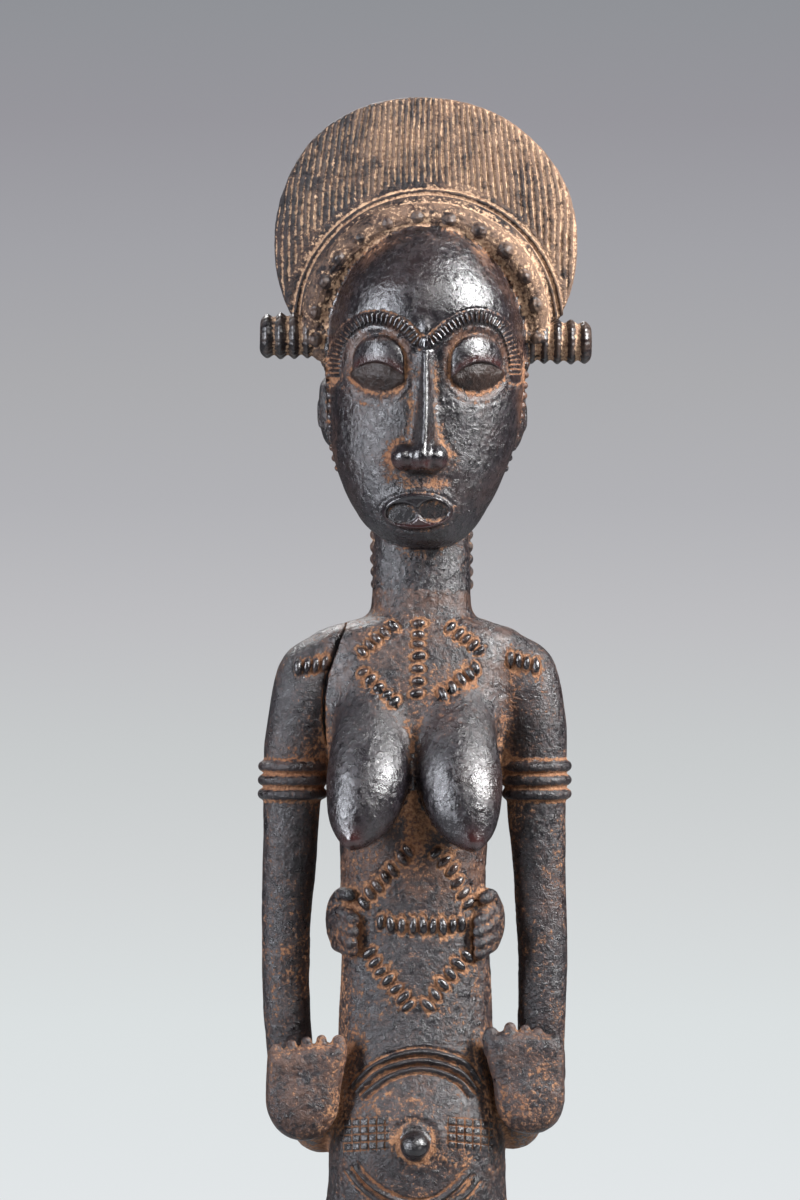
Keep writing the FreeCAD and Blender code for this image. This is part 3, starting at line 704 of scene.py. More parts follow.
def path_dist(xf, zf, pts, n=40, closed=False):
    """Distance to a smooth line through (u, v) points, arc length along it, and the side."""
    p = np.array(pts, float)
    p = np.stack([U(p[:, 0]), W(p[:, 1])], 1)
    s = np.r_[0, np.cumsum(np.linalg.norm(np.diff(p, axis=0), axis=1))]
    ss = np.linspace(0, s[-1], n + 1)
    q = np.stack([catmull(s, p[:, i], ss) for i in (0, 1)], 1) if len(p) > 2 else np.stack([np.interp(ss, s, p[:, i]) for i in (0, 1)], 1)
    best = np.full(len(xf), 1e9)
    arc = np.zeros(len(xf))
    side = np.zeros(len(xf))
    for i, (a, b) in enumerate(zip(q, q[1:])):
        ex, ez = b - a
        wx, wz = xf - a[0], zf - a[1]
        t = np.clip((wx * ex + wz * ez) / (ex * ex + ez * ez), 0, 1)
        dx, dz = wx - t * ex, wz - t * ez
        d = dx * dx + dz * dz
        m = d < best
        best[m] = d[m]
        arc[m] = (ss[i] + t * (ss[i + 1] - ss[i]))[m]
        side[m] = (ex * wz - ez * wx)[m]
    return np.sqrt(best), arc, np.sign(side), ss[-1]


BROW_R = [(423.5, 343.0), (417, 340.6), (407, 330), (394.6, 322), (380, 318), (366, 319), (353.6, 325.5), (344.6, 333.6), (338, 346), (334.4, 360), (333.8, 378)]
BROW_L = [(424.5, 343.0), (431, 341.5), (441, 333.6), (452, 325.5), (464, 319), (478.6, 316.6), (493, 320), (503.6, 328), (510.7, 342.5), (515, 358.6), (515, 377)]


class Skin:
    """Gathers the relief: front is a height towards the viewer, out a height along the surface normal."""

    def __init__(self, p, n, who):
        self.p, self.n, self.who = p, n, who
        self.x, self.y, self.z = p.T.astype(float)
        self.xf, self.zf = flat(self.x, self.y, self.z)
        self.front = np.zeros(len(p))
        self.out = np.zeros(len(p))
        self.crust = np.zeros(len(p))
        self.dark = np.zeros(len(p))
        self.gloss = np.zeros(len(p))
        self.worn = np.zeros(len(p))
        self.dust = np.zeros(len(p))

    def pick(self, u0, v0, u1, v1, extra=True):
        x0, x1, z1, z0 = U(u0), U(u1), W(v0), W(v1)
        return np.nonzero((self.xf > x0) & (self.xf < x1) & (self.zf > z0) & (self.zf < z1) & (self.n[:, 1] < 0.15) & extra)[0]


def do_face(k):
    head = k.who == "head"
    near_front = head & (k.y < -2)
    # ---- eyes
    SHAPE_T, SHAPE_H = np.array([0, 0.22, 0.42, 0.58, 0.8, 1.0]), np.array([0.84, 0.94, 0.97, 0.86, 0.52, 0.06])
    for ue, hw, slant in ((377.6, 27.6, -0.85), (478.2, 26.4, 0.85)):
        j = k.pick(ue - 48, 310, ue + 48, 420, near_front)
        xf, zf = k.xf[j], k.zf[j]
        ul = ue + (1.0 if ue < 420 else -1.5)
        dx = (xf - U(ue)) / (hw * 0.32)
        dl = (xf - U(ul)) / (26.0 * 0.32)
        rho = np.sqrt(((xf - U(ue)) / 12.2) ** 2 + ((zf - W(363)) / 14.0) ** 2)
        h = -1.8 * (1 - sstep(0.45, 1.0, rho))
        in2 = np.clip(1 - dx * dx, 0, 1)
        z_edge = W(362.5) - 4.0 * dx * dx + slant * dx
        z_low = W(391.5) + 3.7 * dx * dx + slant * dx
        dz = (zf - W(362.0)) / (W(334) - W(362.0))
        lid_r = dl * dl + np.where(dz > 0, dz * dz, 0)
        lid = 4.7 * np.sqrt(np.clip(1 - lid_r, 0, 1))
        t = np.clip((z_edge - zf) / np.maximum(z_edge - z_low, 0.3), 0, 1.0)
        ball = 3.3 * in2 ** 0.55 * pchip(SHAPE_T, SHAPE_H, t)
        below = zf < z_edge
        outside = (zf < z_low) | (np.abs(dx) >= 1)
        lidpart = np.where(np.abs(dl) < 1, lid, 0)
        soft = sstep(-0.22, 0.28, zf - z_edge)
        eye = soft * lidpart + (1 - soft) * np.where(outside, 0, ball)
        k.front[j] += h + eye
        # the socket holds a brown crust, most of all towards the nose and over the lid
        free = 1 - sstep(0.3, 1.2, eye)
        nose_side = sstep(-2, 8, (xf - U(ue)) * (1 if ue < 420 else -1))
        k.crust[j] = np.maximum(k.crust[j], free * (1 - sstep(0.75, 1.05, rho)) * (0.18 + 0.30 * nose_side))
        k.dust[j] = np.maximum(k.dust[j], free * (1 - sstep(0.75, 1.05, rho)) * (0.55 + 0.4 * nose_side))
        m_dn = gauss((zf - z_low) + 0.9, 1.0) * (np.abs(dx) < 1.06)
        k.front[j] -= 0.4 * m_dn
        k.crust[j] = np.maximum(k.crust[j], 0.45 * m_dn)
        k.gloss[j] = np.maximum(k.gloss[j], sstep(1.0, 2.0, eye) * np.where(below, 0.0, 0.45))
        k.dust[j] = np.maximum(k.dust[j], 0.35 * (eye > 0.6) * (~below) * sstep(W(345), W(338), zf))
        lower = sstep(0.5, 0.62, t) * below * (1 - outside)
        # the eye below the lid edge is painted darker: painted shade of the overhanging lid
        k.dark[j] = np.maximum(k.dark[j], 1.05 * ((eye > 0.45) & below))
        k.gloss[j] = np.maximum(k.gloss[j], 0.30 * ((eye > 0.45) & below) * (1 - lower))
        k.dust[j] = np.where((eye > 0.45) & below, 0.95, k.dust[j])
        k.worn[j] = np.maximum(k.worn[j], gauss(zf - z_edge - 1.1, 1.5) * (eye > 1.5) * (zf > z_edge - 0.2) * 0.9)
        # line under the eye
        d, _, _, _ = path_dist(xf, zf, [(ue - 33, 388), (ue - 22, 400), (ue, 405.5), (ue + 24, 399), (ue + 34, 388)] if ue < 420 else
                               [(ue - 31, 388), (ue - 20, 399), (ue + 2, 404), (ue + 24, 397), (ue + 32, 384)])
        k.front[j] -= 0.22 * gauss(d, 0.7)
        k.crust[j] = np.maximum(k.crust[j], 0.36 * gauss(d, 1.3))
    # ---- brows
    for line in (BROW_R, BROW_L):
        us = [p[0] for p in line]
        j = k.pick(min(us) - 16, 300, max(us) + 16, 396, near_front)
        d, arc, side, total = path_dist(k.xf[j], k.zf[j], line, 70)
        flat_top = 1 - sstep(1.35, 2.25, d)
        ends = sstep(0, 2.0, arc) * sstep(0, 3.0, total - arc)
        k.front[j] += 1.25 * flat_top * np.maximum(ends, 0.15)
        wave = 0.5 + 0.5 * np.cos(2 * np.pi * arc / 1.52)
        notch = wave ** 1.7 * (1 - sstep(1.5, 2.2, d)) * sstep(0.5, 2.0, arc)
        k.front[j] -= 1.05 * notch
        k.gloss[j] = np.maximum(k.gloss[j], 1.0 * (1 - sstep(1.3, 2.0, d)) * (1 - notch))
        rim = gauss(d - 2.5, 0.55)
        k.front[j] -= 0.3 * rim
        k.crust[j] = np.maximum(k.crust[j], 0.35 * rim * (side * np.sign(U(line[0][0]) - U(line[-1][0])) < 0) + 0.22 * rim)
        k.crust[j] = np.maximum(k.crust[j], notch * (0.60 + 0.25 * sstep(total * 0.55, total * 0.9, arc)))
    # ---- mouth
    j = k.pick(365, 470, 470, 546, near_front & (k.y < -14))
    xf, zf = k.xf[j], k.zf[j]
    dx, dz = (xf - U(417.4)) / 10.7, (zf - W(511.8)) / 5.45
    r = np.sqrt(dx * dx + dz * dz)
    r1 = np.sqrt(((xf - U(402.0)) / 5.2) ** 2 + ((zf - W(514.0)) / 3.5) ** 2)
    r2 = np.sqrt(((xf - U(433.5)) / 5.3) ** 2 + ((zf - W(511.6)) / 3.7) ** 2)
    well = 1 - sstep(0.86, 1.08, smin(r1, r2, 0.16))
    h = 0.6 * (1 - sstep(1.0, 1.6, r)) + 1.35 * (1 - sstep(0.98, 1.08, r)) + 0.35 * gauss(r - 0.93, 0.09)
    h -= 1.35 * well
    h -= 0.40 * gauss(r - 1.15, 0.09)
    k.front[j] += h
    # the wells are painted darker: painted shade in the hollows of the mouth
    k.dark[j] = np.maximum(k.dark[j], 0.45 * well)
    k.crust[j] = np.maximum(k.crust[j], 0.36 * well + 0.34 * well * gauss(xf - U(433), 2.6) + 0.2 * well * gauss(np.minimum(r1, r2) - 0.8, 0.16))
    k.crust[j] = np.maximum(k.crust[j], 0.35 * gauss(r - 1.22, 0.14) * (dz < 0.5))
    k.gloss[j] = np.maximum(k.gloss[j], 1.0 * (1 - well) * (1 - sstep(1.0, 1.15, r)))
    k.worn[j] = np.maximum(k.worn[j], 0.75 * (1 - well) * (1 - sstep(0.98, 1.1, r)) * sstep(0.3, -0.6, dz))
    # ---- lines beside the nose and under it
    for line, wdt, amt in ((([(411, 396), (412, 415), (408, 430), (403, 441), (393, 449), (388, 460), (389, 474), (396, 481)]), 2.8, 0.80),
                           (([(435, 396), (437, 420), (441, 436), (449, 447), (453.5, 458), (452, 472), (446, 480)]), 2.9, 0.66),
                           (([(391, 482), (405, 485), (425, 486), (447, 483)]), 3.2, 0.74),
                           (([(412, 352), (412, 372), (411, 396)]), 1.6, 0.62), (([(437, 352), (437, 372), (436, 396)]), 1.7, 0.56)):
        us, vs = [p[0] for p in line], [p[1] for p in line]
        j = k.pick(min(us) - 14, min(vs) - 14, max(us) + 14, max(vs) + 14, near_front)
        d, _, _, _ = path_dist(k.xf[j], k.zf[j], line)
        patchy = np.clip(0.72 + 0.62 * noise(k.x[j], k.y[j], k.z[j], 3.4, 66), 0.15, 1.1)
        k.crust[j] = np.maximum(k.crust[j], amt * 0.92 * gauss(d, wdt * 0.85) * patchy)
        k.front[j] -= 0.25 * gauss(d, wdt * 0.6)
    # wings of the nose are polished
    j = k.pick(386, 440, 453, 470, near_front & (k.y < -38))
    k.gloss[j] = np.maximum(k.gloss[j], 0.8)
    k.worn[j] = np.maximum(k.worn[j], 0.8 * sstep(403, 401, k.z[j] * 1.0 + 0))
    j = k.pick(386, 340, 453, 470, near_front & (k.y < -37.5))
    k.gloss[j] = np.maximum(k.gloss[j], 0.6)
    k.dark[j] = np.maximum(k.dark[j], 0.3)
    # underside of the nose: painted shade, the faces turned downwards are darkened
    j = k.pick(386, 460, 453, 480, near_front & (k.n[:, 2] < -0.6) & (k.y < -32))
    k.dark[j] = np.maximum(k.dark[j], 0.6)
    # forehead is dark and smooth, the crown below the hair is dusty
    j = k.pick(320, 228, 532, 330, near_front)
    d, _, _, _ = path_dist(k.xf[j], k.zf[j], [(329.5, 340), (330, 326), (342, 284), (363, 257), (393, 240), (424, 234), (460, 243), (493, 263), (516, 295), (526, 326), (527, 340)])
    ebb = np.clip(0.5 + 0.9 * noise(k.x[j], k.y[j], k.z[j], 7.0, 51) + 0.25 * np.clip(k.x[j] / 30, -1, 1), 0.1, 1.2)
    k.crust[j] = np.maximum(k.crust[j], (0.34 * gauss(d, 1.4) + 0.10 * gauss(d, 4.0)) * ebb)
    k.dust[j] = np.maximum(k.dust[j], 0.5 * gauss(d, 4.5) * ebb)


MARKS = []      # u, v, half length, half width (px), angle of the length from the u axis, height mm, crust
for pts, ang, la, lb in (
        ([(393, 625.5), (384.5, 632.5), (376.5, 638.5), (369.5, 645), (362, 652)], -42, 6.0, 4.0),
        ([(363, 672.5), (370.5, 679.5), (378.5, 687.5), (387, 694.5), (394.5, 701.5)], 34, 6.2, 4.3),
        ([(419, 623.5), (418.5, 634.5), (418, 644), (419, 656), (418, 668.5), (418, 681), (416.5, 693.5)], 2, 6.6, 4.3),
        ([(451, 627), (459.5, 633.5), (466.5, 638.5), (474, 644.5), (480, 650.5)], 46, 6.2, 3.9),
        ([(476, 668), (470, 674), (461.5, 679), (452.6, 687), (442.7, 693.5)], -66, 7.0, 4.2),
        ([(298, 667), (307, 666), (316, 665), (325, 663)], 88, 8.2, 3.9),
        ([(510.6, 659), (518.5, 661), (526.5, 663.5), (536, 666)], 92, 7.6, 3.7),
        ([(408, 851), (402, 858.5), (392, 870), (385, 877), (377, 886), (369.5, 893), (363.5, 903)], -62, 7.6, 4.1),
        ([(436, 853), (445.0, 861), (452.6, 870), (457.6, 882), (464, 893), (469, 903)], 52, 7.6, 4.1),
        ([(380.5, 922), (390.5, 924), (401.6, 925.5), (413, 926), (423, 926), (433, 926.5), (443, 927), (453, 926), (462, 924)], 90, 8.2, 3.9),
        ([(369, 953), (374.5, 962.5), (380.5, 971.5), (388, 980), (395.5, 989), (403, 997.5), (408, 1005.5)], 38, 7.4, 3.9),
        ([(467.5, 956), (459, 964.5), (451, 974), (443, 984), (435.5, 994.5), (428, 1005)], -48, 7.6, 4.0)):
    for i, (u, v) in enumerate(pts):
        w = 0.5 + 0.5 * math.sin(i * 12.9898 + u * 78.233)
        MARKS.append((u, v, la * (0.92 + 0.16 * w), lb * (0.94 + 0.12 * w), ang + 16 * (w - 0.5), 1.05 + 0.25 * w))

ARCS_TOP = [[(350, 1090), (358, 1080), (376, 1065), (399, 1055), (422, 1051.5), (445, 1055), (468, 1065), (482, 1088)],
            [(354, 1095), (378, 1071.5), (400, 1063.5), (419.5, 1060.5), (442, 1064), (462, 1073), (478, 1092)],
            [(360, 1099), (387, 1078), (405, 1071), (422, 1068.8), (442, 1072.5), (460, 1081), (474, 1098)]]
ARCS_LOW = [[(353, 1163), (364, 1178), (385, 1194.5), (402, 1202), (418, 1204.5), (436, 1201), (454, 1188.5), (471, 1170)],
            [(346, 1167), (359, 1185), (378, 1200.5), (398, 1210), (418, 1213), (440, 1208), (465.5, 1194.5), (480, 1176)]]


def do_marks(k):
    body = (k.y < 4) & np.isin(k.who, ["chest", "abdomen", "hips", "neck", "right_upper_arm", "left_upper_arm", "right_breast", "left_breast", "navel"])
    patchy = np.clip(0.62 + 0.75 * noise(k.x, k.y, k.z, 2.6, 71) + 0.5 * noise(k.x, k.y, k.z, 9.0, 72), 0.12, 1.35)
    for u, v, la, lb, ang, hh in MARKS:
        j = k.pick(u - 16, v - 16, u + 16, v + 16, body)
        if not len(j):
            continue
        c, s = math.cos(math.radians(ang)), math.sin(math.radians(ang))
        du, dv = (k.xf[j] - U(u)) / 0.32, (k.zf[j] - W(v)) / 0.32
        a, b = (du * c + dv * s) / la, (-du * s + dv * c) / lb
        r = np.sqrt(a * a + b * b)
        k.out[j] += hh * np.clip(1 - r * r, 0, 1) ** 0.6 - 0.42 * gauss(r - 1.28, 0.26)
        k.crust[j] = np.maximum(k.crust[j], (0.46 * gauss(r - 1.30, 0.45) + 0.26 * gauss(r - 1.3, 1.7)) * patchy[j])
        k.gloss[j] = np.maximum(k.gloss[j], 0.75 * (r < 0.75))
        k.dark[j] = np.maximum(k.dark[j], 0.6 * (1 - sstep(0.6, 1.0, r)))
    for arcs in (ARCS_TOP, ARCS_LOW):
        for i, line in enumerate(arcs):
            us, vs = [p[0] for p in line], [p[1] for p in line]
            j = k.pick(min(us) - 12, min(vs) - 12, max(us) + 12, max(vs) + 12, body)
            d, arc, side, total = path_dist(k.xf[j], k.zf[j], line, 50)
            end = sstep(-0.2, 1.6, arc) * sstep(-0.2, 1.6, total - arc)
            k.out[j] += (0.85 * gauss(d, 0.72) - 0.66 * gauss(d - 1.38, 0.42)) * end
            k.crust[j] = np.maximum(k.crust[j], (0.50 * gauss(d - 1.40, 0.50) + 0.14 * gauss(d, 4.0)) * end * patchy[j])
            k.dark[j] = np.maximum(k.dark[j], 0.6 * gauss(d, 0.7) * end)
    # crosshatched patches beside the navel
    for u0, u1, v0, v1, lean in ((344, 388, 1118, 1151, 0.06), (448, 492, 1119, 1149, -0.10)):
        j = k.pick(u0 - 6, v0 - 8, u1 + 6, v1 + 8, body)
        u, v = k.xf[j] / 0.32 + 417, 1720 - k.zf[j] / 0.32
        v = v + (u - (u0 + u1) / 2) * lean
        inside = sstep(u0 - 2, u0 + 1, u) * sstep(u1 + 2, u1 - 1, u) * sstep(v0 - 2, v0 + 1, v) * sstep(v1 + 2, v1 - 1, v)
        g = np.maximum(np.cos(2 * np.pi * (u - u0) / 8.2) ** 8 * (np.cos(2 * np.pi * (u - u0) / 8.2) > 0),
                       np.cos(2 * np.pi * (v - v0) / 8.0) ** 8 * (np.cos(2 * np.pi * (v - v0) / 8.0) > 0))
        k.out[j] += (0.30 - 0.85 * g) * inside
        k.crust[j] = np.maximum(k.crust[j], (0.74 * g * inside + 0.14 * inside) * (0.5 + 0.5 * patchy[j]))
        k.dark[j] = np.maximum(k.dark[j], 0.55 * (1 - g) * inside)
        k.gloss[j] = np.maximum(k.gloss[j], 0.35 * (1 - g) * inside)
    # collar of the navel
    j = k.pick(385, 1110, 446, 1172, body)
    r = np.hypot(k.xf[j] - U(415.5), k.zf[j] - W(1141)) / 0.32
    k.out[j] -= 0.35 * gauss(r - 19.5, 3.2)
    k.out[j] += 0.25 * gauss(r - 27, 3.5)
    k.crust[j] = np.maximum(k.crust[j], (0.40 * gauss(r - 18.5, 2.6) + 0.20 * gauss(r - 24, 7)) * patchy[j])
    j = j[r < 15.5]
    k.gloss[j] = 0.62
    k.crust[j] *= 0.3
    k.dark[j] = np.maximum(k.dark[j], 0.75)
    # drying crack at the right shoulder; its groove is painted near black, painted shade inside the crack
    line = [(346, 622), (344, 628), (338, 640), (331, 660), (326.5, 675), (324, 694), (324, 712), (324.4, 731), (326, 745)]
    j = k.pick(310, 612, 356, 752, (k.y < 8) & np.isin(k.who, ["chest", "right_upper_arm", "neck", "right_breast", "abdomen"]))
    wob = 0.18 * noise(k.x[j], k.y[j] * 0, k.z[j], 2.6, 5)
    d, arc, _, total = path_dist(k.xf[j] + wob, k.zf[j], line, 60)
    open_ = 0.36 * sstep(0, 6, arc) * sstep(0, 7, total - arc) + 0.14
    c = gauss(d, open_)
    k.out[j] -= 1.9 * c
    k.dark[j] = np.maximum(k.dark[j], 1.6 * gauss(d, open_ * 0.9))
    k.crust[j] = np.maximum(k.crust[j], 0.25 * gauss(d - 0.9, 0.5) * sstep(0, 3, total - arc))


def do_hair(k):
    crest = k.who == "coiffure_crest"
    j = np.nonzero(crest)[0]
    x, y, z = k.x[j], k.y[j], k.z[j]
    n = k.n[j]
    rr = np.hypot(x - HX, z - 446.5)
    face = sstep(0.25, 0.6, np.abs(n[:, 1]))
    zz = (z - 472.0) / 48.0
    f = 1 - 0.15 * np.clip(zz, 0, 1) ** 2 - 0.12 * np.clip(-zz, 0, 1) ** 2
    wob = 0.26 * noise(x, y * 0, z * 0.5, 9.0, 3) + 0.07 * noise(x, y * 0, z * 0.6, 3.5, 4) + 0.03 * noise(x, y * 0, z, 1.5, 5)
    g = (x - HX) / (2.08 * f) + wob
    wave = 0.5 + 0.5 * np.cos(2 * np.pi * g)
    front = n[:, 1] < 0
    area = np.where(front, sstep(44.5, 47.5, rr), sstep(39.0, 41.0, rr)) * face
    line = np.floor(g + 0.5)
    live = 0.5 + 0.5 * noise(line * 3.7, z * 0.16, y * 0, 1.0, 6)          # each line comes and goes along its length
    live = 0.55 + 0.45 * sstep(0.12, 0.5, live)
    groove = wave ** (1.6 + 1.4 * (1 - live)) * area
    k.out[j] -= (0.50 + 0.16 * noise(x, y, z, 6.0, 8)) * groove * live
    k.out[j] += 0.10 * noise(x, y, z, 2.4, 11) + 0.06 * noise(x, y, z, 1.1, 13)
    place = 0.66 + 0.30 * noise(x, y * 0, z, 16.0, 9) + 0.16 * noise(x, y * 0, z, 4.0, 10) + 0.12 * np.clip(x / 48, -1, 1) + 0.14 * sstep(470, 515, z)
    k.crust[j] = np.maximum(k.crust[j], place * wave ** 2.8 * area * live)
    k.crust[j] = np.maximum(k.crust[j], 0.22 * place * (1 - area) * face)
    k.dust[j] = np.maximum(k.dust[j], (0.34 + 0.34 * np.clip(x / 46, -1, 1) + 0.30 * sstep(472, 512, z) + 0.30 * noise(x, y * 0, z, 12.0, 14)) * (1 - 0.25 * (1 - wave) * area) + 0.08)
    # two thin ridges at the foot of the crest
    arc_r = 40.7 + 0.9 * np.clip((x - HX) / 40, -1, 1)
    side = sstep(444, 450, z) * front * (n[:, 1] < -0.1)
    for off, hh in ((0.0, 0.75), (2.0, 0.65), (-2.6, 0.35)):
        dd = rr - arc_r - off
        k.out[j] += hh * gauss(dd, 0.55) * side - 0.3 * gauss(dd - 1.0, 0.35) * side
        k.crust[j] = np.maximum(k.crust[j], 0.5 * gauss(dd - 1.0, 0.5) * side)
        k.dark[j] = np.maximum(k.dark[j], 0.4 * gauss(dd, 0.5) * side)
    # back of the hair: combed lines from the crest to the nape
    j = np.nonzero(k.who == "hair_cap")[0]
    x, y, z = k.x[j], k.y[j], k.z[j]
    g = np.arcsin(np.clip((x - HX) / 36.0, -0.98, 0.98)) * 36.0 / 2.2 + 0.15 * noise(x, y, z, 8.0, 12)
    wave = (0.5 + 0.5 * np.cos(2 * np.pi * g)) ** 1.6
    away = sstep(0, 3.0, 34.4 - np.abs(x - HX)) * sstep(408.5, 413, z)
    k.out[j] -= 0.45 * wave * away
    k.crust[j] = np.maximum(k.crust[j], 0.5 * wave ** 2 * away)
    for zc in (417.5, 420.3):
        band = gauss(z - zc + 0.03 * (y - 20), 0.5)
        k.out[j] -= 0.4 * band
        k.crust[j] = np.maximum(k.crust[j], 0.6 * band)
    # the band: lumpy, with fine strands along it
    j = np.nonzero(k.who == "hairline_band")[0]
    x, y, z = k.x[j], k.y[j], k.z[j]
    rr = np.hypot(x - HX, (z - 446.5))
    k.out[j] += 0.22 * noise(x, y, z, 3.2, 21) + 0.12 * noise(x, y, z, 1.4, 22)
    strand = 0.5 + 0.5 * np.cos(2 * np.pi * (rr - 0.5 * y) / 1.7 + 1.2 * noise(x, y, z, 6.0, 23))
    k.out[j] -= 0.16 * strand
    k.crust[j] = np.maximum(k.crust[j], 0.00 + 0.20 * noise(x, y, z, 5.0, 24) + 0.10 * strand + 0.10 * np.clip(x / 36, -1, 1))
    k.dust[j] = np.maximum(k.dust[j], 0.80 + 0.20 * np.clip(x / 36, -1, 1))
    bead = np.zeros(len(j))
    for a, fct in BEADS:
        c = band_at(a, 0.4, 3.6)
        q = np.sqrt(((x - c[0]) / (2.1 * fct)) ** 2 + ((z - c[2]) / (2.1 * fct)) ** 2 + (np.maximum(y - c[1] - 1.5, 0) / 2.0) ** 2)
        bead = np.maximum(bead, 1 - sstep(0.95, 1.2, q))
        k.crust[j] = np.maximum(k.crust[j], 0.30 * gauss(q - 1.4, 0.25))
    k.crust[j] *= 1 - 0.85 * bead
    k.gloss[j] = np.maximum(k.gloss[j], 0.6 * bead)
    k.dust[j] *= 1 - 0.40 * bead
    j = np.nonzero(k.who == "child_head")[0]
    x, y, z = k.x[j], k.y[j], k.z[j]
    crown = sstep(288, 291.5, z + 0.16 * (x - 4) * -1.0) * sstep(10.0, 6.5, x)
    wave = (0.5 + 0.5 * np.cos(2 * np.pi * (y - 35.0) / 1.9 + 0.5 * noise(x, y, z, 5.0, 81))) ** 1.8
    k.out[j] -= 0.34 * wave * crown
    k.crust[j] = np.maximum(k.crust[j], 0.42 * wave * crown)
    # tufts
    for s in (-1, 1):
        j = np.nonzero(k.who == nm(s, "hair_tuft"))[0]
        x, y, z = k.x[j], k.y[j], k.z[j]
        t = (x - HX) * s
        valley = np.zeros(len(j))
        for c in (32.0, 35.7, 39.9, 44.2, 48.5):
            valley = np.maximum(valley, gauss(t - c, 0.9))
        strand = 0.5 + 0.5 * np.cos(np.arctan2(z - 442.5, y + 2) * 22)
        k.out[j] -= 0.12 * strand
        k.crust[j] = np.maximum(k.crust[j], (1.05 if s > 0 else 0.45) * valley + (0.25 if s > 0 else 0.0))
        k.gloss[j] = np.maximum(k.gloss[j], 1.0 * (1 - valley))
        k.dark[j] = np.maximum(k.dark[j], 0.5 * (1 - valley))


